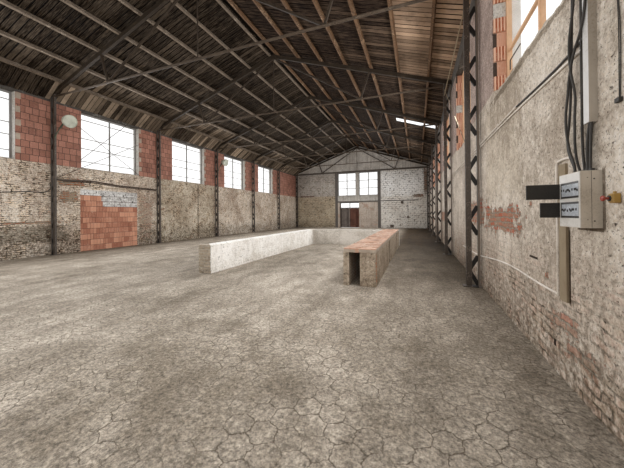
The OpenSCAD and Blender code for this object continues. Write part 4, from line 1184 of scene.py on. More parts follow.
    def sheets(self) -> None:
        """Lays the corrugated sheets, each course over the one below."""
        sin = math.sin(self.pitch)
        steps = round((self.reach[1] - self.reach[0]) / self.wave * 8)
        first, last = 0.05, self.eave - self.sheet_over * sin
        swing = 0.0165
        rims = [*sorted({o[0] for o in self.openings}), *sorted({o[1] for o in self.openings})]
        rims = [run - self.sheet_under * sin for run in rims]
        parts = []
        for course in range(self.courses):
            start = first + (last - first) * course / self.courses - (0.14 if course else 0.0)
            stop = first + (last - first) * (course + 1) / self.courses
            cuts = [start, *(run for run in rims if start + 0.02 < run < stop - 0.02), stop]
            Bench.pick()
            bpy.ops.mesh.primitive_grid_add(x_subdivisions=steps, y_subdivisions=len(cuts) - 1, size=2.0)
            grid = bpy.context.active_object
            across = (self.reach[1] - self.reach[0]) / 2
            middle = (self.reach[1] + self.reach[0]) / 2
            for vertex in grid.data.vertices:
                along = middle + vertex.co.x * across * self.side.value
                run = cuts[min(len(cuts) - 1, round((vertex.co.y + 1) / 2 * (len(cuts) - 1)))]
                part = (run - start) / (stop - start)
                height = self.sheet_under + 0.0185 + swing * math.sin(along / self.wave * math.tau) + 0.007 * part
                vertex.co = self.place(run, along, height).translation
            with Bench.editing():
                bpy.ops.mesh.select_mode(type="FACE")
                bpy.ops.mesh.select_all(action="DESELECT")
            for face in grid.data.polygons:
                run, along = abs(face.center.x), face.center.y
                face.select = any(o[0] < run < o[1] and o[2] < along < o[3] for o in self.openings)
            with Bench.editing():
                bpy.ops.mesh.delete(type="FACE")
                bpy.ops.mesh.select_all(action="SELECT")
                bpy.ops.mesh.normals_make_consistent(inside=False)
            shell = grid.modifiers.new("thickness", "SOLIDIFY")
            shell.thickness, shell.offset = 0.006, 0.0
            bpy.ops.object.modifier_apply(modifier=shell.name)
            parts.append(grid)
        self.palette.fit(f"{self.label}_corrugated_sheets", parts, "fibre_cement_sheet", "roof_sheet",
            replaces=[f"{self.label}_roof_covering"], smooth=50.0)


@dataclass
class Windows(Part):
    """Where the windows of the long walls are."""

    centres: tuple[float, ...] = tuple(-13.98 + 4.66 * i for i in range(6))
    half: float = 1.3
    sill: float = 3.68
    head: float = 6.10


@dataclass
class Glazing(Windows):
    """The bars that part each window into panes."""

    rows: tuple[float, ...] = (0.12, 0.45, 0.63, 0.86)

    def side_bars(self, side: Side, rows: Sequence[float], posts: Sequence[float], bar: float) -> list[Piece]:
        """Puts level and upright bars in the windows of one long wall.

        Args:
            side: The wall.
            rows: How far down the window each level bar lies, as a share.
            posts: How far along the window each upright stands, as a share.
            bar: The bars' width on view.

        Returns:
            The bars.
        """
        parts = []
        low, high = sorted((side.value * 7.452, side.value * 7.497))
        for centre in self.centres:
            for share in rows:
                z = self.head - share * (self.head - self.sill)
                parts.append(Bench.block((low, centre - self.half + 0.055, z - bar / 2),
                    (high, centre + self.half - 0.055, z + bar / 2), bar / 8))
            for share in posts:
                y = centre - self.half + share * 2 * self.half
                parts.append(Bench.block((low + 0.003, y - bar / 2, self.sill + 0.055),
                    (high - 0.003, y + bar / 2, self.head - 0.055), bar / 8))
        return parts

    def gable_bars(self) -> list[Piece]:
        """Puts bars in the windows of both gables.

        Returns:
            The bars.
        """
        parts = []
        for face in (16.535, -16.535):
            for centre in (-1.1725, 1.1725):
                parts.append(Bench.block((centre - 0.04, face - 0.03, 3.69), (centre + 0.04, face + 0.03, 6.1), 0.006))
                for z in (4.44, 5.28):
                    parts.append(Bench.block((centre - 0.96, face - 0.026, z - 0.025),
                        (centre + 0.96, face + 0.026, z + 0.025), 0.006))
        return parts

    def build(self) -> None:
        """Glazes the left, right and gable windows, in steel, timber and steel."""
        bars = self.side_bars(Side.LEFT, self.rows, (), 0.022)
        self.palette.fit("left_glazing_bars", bars, "window_steel_paint", "window_steel")
        bars = self.side_bars(Side.RIGHT, (0.372, 0.744), (0.5,), 0.042)
        self.palette.fit("right_glazing_bars", bars, "window_timber_oiled", "window_timber")
        self.palette.fit("gable_glazing_bars", self.gable_bars(), "window_steel_paint", "window_steel")


@dataclass
class Wiring(Part):
    """Rubber cables and metal conduits on the long walls, with their saddles."""

    wall: float = 7.25
    conduit: float = 0.011
    cable: float = 0.009

    def saddles(self, points: Sequence[Pair], x: float) -> list[Piece]:
        """Makes the straps that hold a conduit.

        Args:
            points: Where each strap sits, along the hall and up.
            x: The conduit's distance from the middle of the hall.

        Returns:
            The straps.
        """
        radius = self.conduit + 0.004
        made = []
        for y, z in points:
            made.append(Bench.bar((x, y - 0.012, z), (x, y + 0.012, z), radius, 10, 0.002))
            made.append(Bench.block((x, y - 0.012, z - 0.038), (self.wall, y + 0.012, z + 0.038), 0.002))
        return made

    def build(self) -> None:
        """Runs the conduits and the cables."""
        self.conduits()
        self.cables()

    def conduits(self) -> None:
        """Runs the conduits, and the old rail and a lath on the left wall."""
        x = self.wall - self.conduit - 0.0005
        upper = [(-9.15, 3.008), (-8.2, 3.016), (-7.0, 3.02), (-4.4, 3.03), (0.0, 3.02), (6.0, 3.026), (11.65, 3.02)]
        lower = [(-10.7, 2.905), (-10.0, 2.93), (-9.15, 2.955), (-7.0, 2.966), (-2.0, 2.96), (5.0, 2.97),
            (11.65, 2.965)]
        low = [(-10.27, 0.9), (-9.74, 0.9), (-9.2, 0.918), (-8.78, 0.915), (-8.07, 0.874), (-6.9, 0.775),
            (-5.8, 0.745), (-4.66, 0.74)]
        riser = [(-10.27, 0.885), (-10.272, 1.3), (-10.268, 1.8), (-10.27, 2.06), (-10.285, 2.1), (-10.32, 2.108),
            (-10.52, 2.1), (-10.56, 2.085)]
        parts = [Bench.tube([(x, *p) for p in route], self.conduit) for route in (upper, lower, low, riser)]
        parts.append(Bench.bar((x, -9.2, 3.006), (x, -9.1, 3.009), self.conduit + 0.005, 12, 0.003))
        parts += self.saddles([(y, 3.02) for y in (-8.3, -5.6, -1.2, 3.4, 8.1, 11.5)], x)
        parts += self.saddles([(y, 2.962) for y in (-6.2, -1.4, 3.2, 7.9, 11.4)], x)
        parts += self.saddles([(-9.5, 0.906), (-7.5, 0.826), (-5.2, 0.742)], x)
        self.palette.fit("wall_conduits", parts, "conduit_metal", "pipe_metal", replaces=["wall_pipes"], smooth=ROUND)
        rail = [(-6.94, 3.11), (-6.6, 3.1), (-5.63, 3.165), (-4.9, 3.12), (-4.34, 3.08), (-3.4, 3.07), (-2.38, 3.05)]
        under = [(-7.232, y, z - 0.062) for y, z in rail[1:]]
        upright = [(-7.236, 0.69, 0.16), (-7.235, 0.7, 1.9), (-7.236, 0.71, 3.6)]
        old = [Bench.tube([(-7.224, *p) for p in rail], 0.03), Bench.tube(under, 0.017), Bench.tube(upright, 0.013)]
        for y, z in ((-5.63, 3.165), (-3.4, 3.07)):
            old.append(Bench.block((-7.25, y - 0.02, z - 0.1), (-7.19, y + 0.02, z - 0.03), 0.004))
        self.palette.fit("left_wall_rail", old, "rail_iron", "pipe_metal", smooth=ROUND)
        lath = Bench.block((-7.25, -6.38, 2.915), (-7.232, -4.1, 2.94), 0.003)
        self.palette.fit("left_wall_lath", [lath], "batten_timber", "post_wood")

    def cables(self) -> None:
        """Drops the cables from the eaves beam to the top of the fuse box, and hangs the left one."""
        routes = ([(7.236, -10.62, 1.93), (7.22, -10.6, 2.03), (7.215, -10.565, 2.1), (7.215, -10.528, 2.21),
            (7.22, -10.54, 2.36), (7.22, -10.565, 2.5), (7.212, -10.6, 2.76), (7.205, -10.632, 2.99),
            (7.215, -10.626, 3.35), (7.23, -10.62, 4.2), (7.236, -10.6185, 6.1)],
            [(7.23, -10.7, 1.93), (7.2, -10.702, 2.05), (7.18, -10.724, 2.35), (7.2, -10.687, 2.56),
            (7.19, -10.649, 2.78), (7.185, -10.642, 2.98), (7.2, -10.68, 3.3), (7.225, -10.676, 4.3),
            (7.2367, -10.6765, 6.1)], [(7.2, -10.665, 1.93), (7.195, -10.68, 2.0), (7.19, -10.62, 2.14),
            (7.19, -10.564, 2.4), (7.19, -10.6, 2.6), (7.188, -10.65, 2.78), (7.185, -10.725, 2.9),
            (7.188, -10.8, 3.0), (7.19, -10.86, 3.18), (7.19, -10.83, 4.2), (7.19, -10.8, 5.2), (7.19, -10.76, 6.1)],
            [(7.235, -10.735, 1.93), (7.23, -10.72, 2.1), (7.236, -10.7, 2.5), (7.2367, -10.7, 3.4),
            (7.2367, -10.7055, 6.1)], [(7.215, -10.845, 1.93), (7.215, -10.85, 2.1), (7.22, -10.855, 2.34)],
            [(7.222, -10.8, 1.93), (7.218, -10.8, 2.12), (7.222, -10.832, 2.34)],
            [(7.228, -10.77, 1.93), (7.235, -10.775, 2.1), (7.23, -10.812, 2.34)])
        parts = [Bench.tube(route, self.cable) for route in routes]
        # The dark hose that comes out of the light conduit beside the first window.
        x = self.wall - self.conduit - 0.0005
        parts.append(Bench.tube([(x, -10.74, 2.978), (x, -10.4, 2.962), (x, -10.05, 2.967), (x, -9.5, 2.99),
            (x, -9.14, 3.008)], 0.0105))
        parts.append(Bench.tube([(-7.233, -11.65, 2.46), (-7.233, -9.9, 2.36), (-7.233, -8.41, 2.49),
            (-7.233, -7.77, 2.56), (-7.233, -7.04, 2.69), (-7.23, -7.03, 2.9)], 0.016))
        # A thin flex loops down by the near column to a small terminal.
        parts.append(Bench.tube([(7.246, -11.05, 6.1), (7.246, -11.06, 3.4), (7.245, -11.1, 2.95),
            (7.246, -11.1, 2.37)], 0.0028))
        parts.append(Bench.tube([(7.246, -11.1, 6.1), (7.246, -11.09, 3.2), (7.245, -11.12, 2.8),
            (7.246, -11.11, 2.37)], 0.0028))
        parts.append(Bench.block((7.228, -11.13, 2.345), (7.25, -11.085, 2.375), 0.002))
        self.palette.fit("rubber_cables", parts, "cable_rubber", "black_rubber", replaces=["wall_cables"], smooth=ROUND)


@dataclass
class FuseBox(Part):
    """The front of the fuse box: a pale plate, two rows of switches, glands, screws and the stop button."""

    front: float = 7.13
    reach: Pair = (-10.91, -10.6)
    base: float = 1.535
    top: float = 1.945
    rows: tuple[Pair, ...] = ((1.755, 1.877), (1.605, 1.727))
    module: float = 0.0178
    modules: int = 14
    glands: tuple[float, ...] = (0.065, 0.11, 0.145, 0.175, 0.21, 0.245, 0.29)

    def build(self) -> None:
        """Builds the plate, switches, glands, screws and stop button."""
        near, far = self.reach
        x = self.front
        (low, high), (bottom, middle) = self.rows
        bands = ((self.base + 0.004, bottom), (middle, low), (high, self.top - 0.004))
        plate = [Bench.block((x - 0.003, near + 0.004, low), (x, far - 0.004, high), 0.002) for low, high in bands]
        for low, high in self.rows:
            for start, stop in ((near + 0.004, near + 0.022), (far - 0.02, far - 0.004)):
                plate.append(Bench.block((x - 0.0028, start, low - 0.002), (x, stop, high + 0.002), 0.0015))
        self.palette.fit("fuse_box_front", plate, "white_moulding", "grey_plastic")
        places = [(row, i, near + 0.028 + i * self.module) for row in (0, 1) for i in range(self.modules)]
        modules = []
        for row, _, y in places:
            low, high = self.rows[row]
            modules.append(Bench.block((x - 0.0018, y, low + 0.016),
                (x, y + self.module - 0.003, high - 0.016), 0.0006))
            modules.append(Bench.block((x - 0.003, y + 0.001, low + 0.042),
                (x, y + self.module - 0.004, high - 0.042), 0.001))
        self.palette.fit("fuse_box_breakers", modules, "breaker_moulding", "grey_plastic")
        dark = [Bench.block((x - 0.0006, near + 0.02, low), (x + 0.001, far - 0.018, high), 0.0002)
            for low, high in self.rows]
        for row, i, y in places:
            if (i * 5 + row) % 7 in (1, 4):
                continue
            middle = sum(self.rows[row]) / 2 + (0.004 if (i + row) % 3 else -0.005)
            dark.append(Bench.block((x - 0.0075, y + 0.003, middle - 0.009),
                (x - 0.001, y + self.module - 0.0045, middle + 0.009), 0.001))
        for y in self.glands:
            dark.append(Bench.bar((7.222, near + y, self.top - 0.004), (7.222, near + y, self.top + 0.022),
                0.0165, 12, 0.003))
        # The lid's seam and its screws on the near end.
        seam = near - 0.0012
        dark.append(Bench.block((7.1895, seam, self.base + 0.003), (7.1915, near + 0.001, self.top - 0.003), 0.0003))
        for z in (self.base + 0.05, self.top - 0.06):
            dark.append(Bench.bar((7.205, near - 0.0035, z), (7.205, near + 0.001, z), 0.005, 10, 0.001))
            dark.append(Bench.bar((7.168, near - 0.003, z + 0.01), (7.168, near + 0.001, z + 0.01), 0.003, 8, 0.001))
        self.palette.fit("fuse_box_switches", dark, "black_moulding", "black_plastic")
        # Ribs stiffen the two open covers.
        ribs = []
        for (low, high), reach in zip(self.rows, (6.902, 6.997)):
            for z in (low + 0.004, high - 0.009):
                ribs.append(Bench.block((reach, -10.6145, z), (x - 0.004, -10.61, z + 0.005), 0.001))
            ribs.append(Bench.block((reach, -10.6145, low + 0.004), (reach + 0.006, -10.61, high - 0.004), 0.001))
            ribs.append(Bench.bar((x - 0.004, -10.606, low + 0.006), (x - 0.004, -10.606, high - 0.006), 0.006, 10,
                0.001))
        self.palette.fit("fuse_box_cover_ribs", ribs, "black_moulding", "black_plastic")
        middle = -11.08
        housing = [Bench.block((7.207, -11.104, 1.706), (7.249, -11.056, 1.769), 0.006),
            Bench.block((7.203, -11.1, 1.711), (7.21, -11.06, 1.764), 0.003),
            Bench.bar((7.228, middle, 1.766), (7.228, middle, 1.782), 0.009, 12, 0.002)]
        self.palette.fit("stop_button_housing", housing, "yellow_moulding", "yellow_plastic",
            replaces=["stop_button"])
        knob = [Bench.bar((7.174, middle, 1.7375), (7.205, middle, 1.7375), 0.009, 16, 0.002),
            Bench.bar((7.161, middle, 1.7375), (7.176, middle, 1.7375), 0.0185, 20, 0.005)]
        self.palette.fit("stop_button_knob", knob, "red_moulding", "yellow_plastic", smooth=ROUND)
        ring = Bench.bar((7.196, middle, 1.7375), (7.204, middle, 1.7375), 0.019, 20, 0.002)
        self.palette.fit("stop_button_ring", [ring], "black_moulding", "black_plastic")


@dataclass
class Duct(Part):
    """The long masonry duct: its brick cover, the open near end and the wire mesh in it."""

    left: float = 4.57
    right: float = 5.25
    near: float = -7.74
    far: float = -0.19
    bed: float = 0.842
    top: float = 0.934

    def build(self) -> None:
        """Lays the cover's bricks in mortar, and sets the mesh and the cap stone."""
        dice = random.Random(5)
        bed = [Bench.block((self.left + 0.003, self.near + 0.006, self.bed),
            (self.right - 0.003, self.far - 0.003, self.top - 0.022), 0.006)]
        # Lumps of mortar squeezed out along the near edge.
        for i in range(9):
            x = self.left + 0.06 + i * 0.07
            size = dice.uniform(0.012, 0.03)
            bed.append(Bench.block((x, self.near + 0.001, self.bed + 0.01),
                (x + size, self.near + 0.02, self.bed + 0.01 + size), size * 0.3))
        self.palette.fit("duct_cover_mortar", bed, "lime_mortar", "duct_masonry")
        pattern = Bench.block((-0.5, -0.5, 0.0), (0.5, 0.5, 1.0), 0.035)
        parts = []
        row, y = 0, self.near + 0.003
        columns = (0.0, 0.335, 0.667, 1.0)
        width = self.right - self.left - 0.004
        while y < self.far - 0.07:
            length = min(0.118 + dice.uniform(-0.004, 0.006), self.far - y)
            shares = columns if row % 2 else (0.0, 0.165, 0.5, 0.835, 1.0)
            for a, b in zip(shares, shares[1:]):
                gap = dice.uniform(0.006, 0.014)
                size = ((b - a) * width - gap, length - gap, self.top - self.bed - 0.002)
                sink = dice.choice((0.0, 0.0, 0.003, 0.006, 0.01, 0.016))
                middle, level = self.left + 0.002 + (a + b) / 2 * width, self.bed - sink + 0.002
                place = Matrix.Translation((middle, y + length / 2, level))
                turn = Matrix.Rotation(dice.uniform(-0.015, 0.015), 4, "Z")
                if dice.random() > 0.03:
                    parts.append(Bench.copy(pattern, place @ turn @ Matrix.Diagonal((*size, 1.0)),
                        dice.uniform(0.1, 0.95)))
            y += length
            row += 1
        bpy.data.objects.remove(pattern)
        self.palette.fit("duct_cover_bricks", parts, "cover_brick", "pale_brick", replaces=["duct_cover"])
        # Chicken wire drawn coarse: strands 4 mm thick and 60 mm apart.
        strands = []
        for i in range(15):
            z = 0.02 + i * 0.06
            for rise in (0.2, -0.2):
                low, high = z, z + rise
                a, b = max(0.16, min(0.83, low)), max(0.16, min(0.83, high))
                if abs(b - a) < 0.03:
                    continue
                x0 = 4.692 + 0.226 * (a - low) / (high - low)
                x1 = 4.692 + 0.226 * (b - low) / (high - low)
                strands.append(Bench.bar((x0, -7.715, a), (x1, -7.712, b), 0.002, 6))
        self.palette.fit("duct_wire_mesh", strands, "bare_iron", "dark_steel")
        stones = [Bench.block((4.572, -7.739, 0.755), (4.69, -7.64, 0.838), 0.012),
            Bench.block((4.93, -7.7398, 0.2), (4.945, -7.72, 0.82), 0.004),
            Bench.block((5.232, -7.7398, 0.2), (5.2495, -7.715, 0.83), 0.004)]
        self.palette.fit("duct_end_stones", stones, "lime_mortar", "duct_masonry")


@dataclass
class Doorway(Part):
    """The bricked-up doorway in the left wall: hollow clay blocks under a limewashed course."""

    face: float = -7.262
    back: float = -7.282
    near: float = -6.0
    far: float = -3.46
    foot: float = 0.152
    head: float = 2.55
    block: Pair = (0.254, 0.24)

    def build(self) -> None:
        """Stacks the clay blocks and the limewashed ones."""
        dice = random.Random(21)
        pattern = self.fluted_block()
        clay, white = [], []
        rows = 10
        height = (self.head - self.foot) / rows
        for row in range(rows):
            y, first = self.near, True
            while y < self.far - 0.02:
                width = self.block[0] * dice.choice((1.0, 1.0, 0.97, 1.04, 0.75))
                if first and row % 2:
                    width *= 0.5
                first = False
                width = min(width, self.far - y)
                if self.far - (y + width) < 0.08:
                    width = self.far - y
                z = self.foot + row * height
                washed = row >= rows - 2 and y > -5.3
                depth = self.face - self.back + dice.uniform(-0.004, 0.004)
                place = Matrix.Translation((self.back, y + width / 2, z + height / 2))
                size = Matrix.Diagonal((depth, width - 0.014, height - 0.016, 1.0))
                tone = dice.uniform(0.15, 0.8)
                if not washed and dice.random() < 0.8:
                    half = Matrix.Diagonal((depth, width / 2 - 0.012, height - 0.016, 1.0))
                    for shift, change in ((-0.25, 0.0), (0.25, dice.uniform(-0.12, 0.12))):
                        side = Matrix.Translation((0.0, shift * width, 0.0))
                        clay.append(Bench.copy(pattern, side @ place @ half, min(1.0, max(0.0, tone + change))))
                else:
                    (white if washed else clay).append(Bench.copy(pattern, place @ size, tone))
                y += width
        bpy.data.objects.remove(pattern)
        self.palette.fit("doorway_clay_blocks", clay, "infill_blocks", "clay_block")
        # The limewashed course: long blocks with open core holes where the wash missed them.
        for low, high, start in ((2.555, 2.66, self.near), (2.668, 2.785, self.near + 0.1)):
            y = start
            while y < self.far - 0.05:
                width = min(0.46, self.far - y)
                white.append(Bench.block((-7.252, y + 0.002, low), (-7.2475, y + width - 0.006, high), 0.0015))
                y += width
        self.palette.fit("doorway_washed_blocks", white, "lintel_wash", "white_plaster")
        # The open cores are drawn as flat black slips: painted shade in the holes.
        holes = [(-5.4, 2.70, 0.035), (-5.2, 2.62, 0.03), (-5.12, 2.58, 0.03), (-5.0, 2.7, 0.02),
            (-4.66, 2.66, 0.025), (-4.6, 2.57, 0.04), (-4.4, 2.7, 0.02), (-4.2, 2.60, 0.045), (-4.1, 2.66, 0.03),
            (-4.02, 2.56, 0.035), (-4.3, 2.42, 0.03), (-4.26, 2.3, 0.045), (-3.72, 2.32, 0.05), (-5.7, 2.64, 0.03),
            (-4.85, 2.59, 0.03), (-3.85, 2.68, 0.02)]
        slots = [Bench.block((-7.2485 if z > 2.5 else self.face - 0.003, y, z - h),
            (-7.2465 if z > 2.5 else self.face + 0.001, y + 0.02 + h * 0.6, z + h), 0.0008) for y, z, h in holes]
        self.palette.fit("doorway_core_holes", slots, "black_moulding", "dark_beam")

    @staticmethod
    def fluted_block() -> Piece:
        """Makes a clay block's face of unit size with three upright flutes.

        Returns:
            The block: x from 0 to 1 out of the wall, y and z from -0.5 to 0.5.
        """
        piece = Bench.block((0.0, -0.5, -0.5), (1.0, 0.5, 0.5))
        with Bench.editing():
            bpy.ops.mesh.select_mode(type="FACE")
            for cut in (-0.3, -0.18, -0.06, 0.06, 0.18, 0.3):
                bpy.ops.mesh.select_all(action="SELECT")
                bpy.ops.mesh.bisect(plane_co=(0.0, cut, 0.0), plane_no=(0.0, 1.0, 0.0))
            bpy.ops.mesh.select_all(action="DESELECT")
        for face in piece.data.polygons:
            face.select = face.normal.x > 0.9 and any(abs(abs(face.center.y) - c) < 0.02 for c in (0.24, 0.0))
        with Bench.editing():
            bpy.ops.mesh.inset(thickness=0.008, depth=-0.22, use_individual=True)
        return piece


@dataclass
class Reveals(Windows):
    """The sides of the windows: stacked fluted blocks on the right, limed plaster on the left."""

    inner: float = 7.262
    frame: float = 7.438
    stack: float = 0.02

    def build(self) -> None:
        """Stacks blocks at each right window, and plasters each left one."""
        dice = random.Random(8)
        pattern = Doorway.fluted_block()
        rows = round((self.head - self.sill) / 0.25)
        height = (self.head - self.sill) / rows
        clay, pale, plaster, sills, jambs, shade_slips = [], [], [], [], [], []
        for centre in self.centres:
            for end in (-1.0, 1.0):
                jamb = centre + end * self.half
                for row in range(rows):
                    z = self.sill + (row + 0.5) * height
                    # The unit block faces +x: turned to face the middle of the window.
                    turn = Matrix.Rotation(-end * math.pi / 2, 4, "Z")
                    indent = 0.045 if row % 2 and row != 5 else 0.0
                    low, high = self.inner + indent, self.frame
                    place = Matrix.Translation(((low + high) / 2, jamb, z))
                    size = Matrix.Diagonal((self.stack + dice.uniform(0.0, 0.012), high - low, height - 0.006, 1.0))
                    made = Bench.copy(pattern, place @ turn @ size, dice.uniform(0.25, 0.6))
                    (pale if row == 5 else clay).append(made)
                    if row % 2 == 0:
                        clay += self.ribs(jamb, end, z, height)
                    elif row != 5:
                        # Painted shade: a thin dark slip fills the indent of each indented block.
                        low, high = sorted((jamb, jamb - end * 0.004))
                        shade_slips.append(Bench.block((self.inner - 0.008, low, z - height / 2 + 0.006),
                            (self.inner + 0.05, high, z + height / 2 - 0.006)))
            low, high = sorted((centre + self.half - 0.018, centre + self.half))
            plaster.append(Bench.block((-7.438, low, self.sill), (-7.255, high, self.head), 0.004))
            for side in Side:
                outer = sorted((side.value * 7.522, side.value * 7.646))
                for end in (-1.0, 1.0):
                    ends = sorted((centre + end * (self.half - 0.012), centre + end * (self.half + 0.001)))
                    jambs.append(Bench.block((outer[0], ends[0], self.sill), (outer[1], ends[1], self.head), 0.002))
            sills.append(self.ragged_edge(centre, dice))
            sills.append(Bench.block((-7.438, centre - self.half, self.sill - 0.01),
                (-7.262, centre + self.half, self.sill + 0.022), 0.009))
        bpy.data.objects.remove(pattern)
        self.palette.fit("right_reveal_blocks", clay, "reveal_blocks", "clay_block")
        self.palette.fit("right_reveal_cores", shade_slips, "rail_iron", "dark_beam")
        self.palette.fit("right_reveal_foam", pale, "whitewash", "white_plaster")
        self.palette.fit("left_reveal_plaster", plaster, "whitewash", "white_plaster")
        self.palette.fit("window_sill_mortar", sills, "lime_mortar", "duct_masonry")
        self.palette.fit("outer_jamb_render", jambs, "jamb_limewash", "white_plaster")
        # Grey mortar quoins tooth the near edge of each left pier.
        quoins = []
        for centre in self.centres:
            edge = centre + self.half
            for row in range(1, rows, 2):
                z = self.sill + row * height
                quoins.append(Bench.block((-7.252, edge + 0.003, z + 0.012),
                    (-7.244, edge + 0.13 + dice.uniform(-0.02, 0.02), z + height - 0.012), 0.003))
        self.palette.fit("left_pier_quoins", quoins, "lime_mortar", "grey_plaster")
        self.broken_wall()

    def ribs(self, jamb: float, end: float, z: float, height: float) -> list[Piece]:
        """Makes the four ribs of a block that shows its flutes, toned pale as painted light, with the grooves between
        them toned dark as painted shade.

        Args:
            jamb: The window's end along the hall.
            end: Which end it is, -1 or 1.
            z: The block's middle height.
            height: The course's height.

        Returns:
            The ribs.
        """
        made = []
        for k in range(4):
            x = self.inner + 0.006 + k * 0.045
            low, high = sorted((jamb, jamb - end * 0.04))
            # Painted light and shade: each rib is toned pale as lit, each groove behind it nearly dark as shaded.
            rib = Bench.block((x, low, z - height / 2 + 0.004), (x + 0.017, high, z + height / 2 - 0.004), 0.003)
            made.append(Bench.shade(rib, 0.04 + 0.05 * (k % 2)))
            if k < 3:
                groove = Bench.block((x + 0.019, low, z - height / 2 + 0.006),
                    (x + 0.043, high - 0.006 if end < 0 else high, z + height / 2 - 0.006))
                groove.data.transform(Matrix.Translation((0.0, end * 0.005, 0.0)))
                made.append(Bench.shade(groove, 0.95))
        return made

    def broken_wall(self) -> None:
        """Builds the right wall up to the sills, its inner arris broken away under each window."""
        dice = random.Random(17)
        stations = [(-16.71, 0.0)]
        for centre in self.centres:
            steps, drift = 84, 0.0
            for i in range(steps + 1):
                share = i / steps
                drift = min(0.03, max(-0.03, drift + dice.uniform(-0.016, 0.016)))
                taper = min(1.0, share * 26, (1 - share) * 26)
                chip = 0.225 - 0.125 * share + drift
                stations.append((centre - self.half + 2 * self.half * share, max(0.0, chip * taper)))
        stations.append((16.71, 0.0))
        points, faces = [], []
        for number, (y, chip) in enumerate(stations):
            depth = chip * dice.uniform(0.58, 0.68)
            wobble = chip * dice.uniform(-0.1, 0.12)
            points += [(7.65, y, 0.0), (7.65, y, self.sill), (7.2505 + depth, y, self.sill),
                (7.25 + depth * 0.62 + wobble, y, self.sill - chip * 0.25),
                (7.25 + depth * 0.3 - wobble * 0.6, y, self.sill - chip * 0.62), (7.25, y, self.sill - 0.0005 - chip),
                (7.25, y, 0.0)]
            if number:
                a, b = 7 * (number - 1), 7 * number
                faces += [(a + k, a + (k + 1) % 7, b + (k + 1) % 7, b + k) for k in range(7)]
        last = 7 * (len(stations) - 1)
        faces += [tuple(range(6, -1, -1)), tuple(last + k for k in range(7))]
        self.palette.fit("right_wall_broken_arris", [Bench.shell(points, faces=faces)], "right_wall_plaster",
            "old_brick", replaces=["right_lower_wall"])

    def ragged_edge(self, centre: float, dice: random.Random) -> Piece:
        """Makes the broken mortar edge of a sill, where the wall's inner face meets it.

        Args:
            centre: The window's middle along the hall.
            dice: The reveals' own draws.

        Returns:
            The ridge of mortar lumps.
        """
        steps = 90
        points, faces = [], []
        high = 0.01
        for i in range(steps + 1):
            y = centre - self.half + 2 * self.half * i / steps
            high = min(0.045, max(0.002, high + dice.uniform(-0.014, 0.014)))
            inner = -7.2515 - dice.uniform(0.0, 0.008)
            outer = -7.285 - dice.uniform(-0.01, 0.02)
            points += [(inner, y, self.sill - 0.004), (inner - 0.004, y, self.sill + high),
                (outer, y, self.sill + high * dice.uniform(0.3, 0.9)), (outer, y, self.sill - 0.004)]
            if i:
                a, b = 4 * (i - 1), 4 * i
                faces += [(a + k, a + (k + 1) % 4, b + (k + 1) % 4, b + k) for k in range(4)]
        faces += [(3, 2, 1, 0), tuple(4 * steps + k for k in range(4))]
        return Bench.shell(points, faces=faces)


@dataclass
class LooseTimber(Part):
    """The iron bracket in the near right window, the rods across a left one and the laths between two columns."""

    def build(self) -> None:
        """Fixes the bracket, the rods and the laths."""
        rail = Bench.block((7.425, -8.72, 4.04), (7.438, -8.25, 4.055), 0.002)
        peg = Bench.block((7.425, -8.27, 3.9), (7.438, -8.25, 4.05), 0.002)
        self.palette.fit("window_bracket", [rail, peg], "bare_iron", "dark_steel")
        laths = [Bench.bar((7.0, -6.965, 5.92), (7.0, -2.355, 5.92), 0.014, 8),
            Bench.bar((7.0, -6.965, 3.04), (7.0, -2.355, 6.15), 0.008, 8)]
        self.palette.fit("column_laths", laths, "batten_timber", "post_wood")
        lines = (((-6.0, 4.01), (-3.94, 6.14)), ((-6.0, 5.383), (-3.32, 3.687)), ((-6.96, 3.08), (-3.33, 5.293)))
        rods = [Bench.bar((-7.243, y0, z0), (-7.243, y1, z1), 0.011, 8) for (y0, z0), (y1, z1) in lines]
        self.palette.fit("left_window_rods", rods, "bare_iron", "dark_steel")


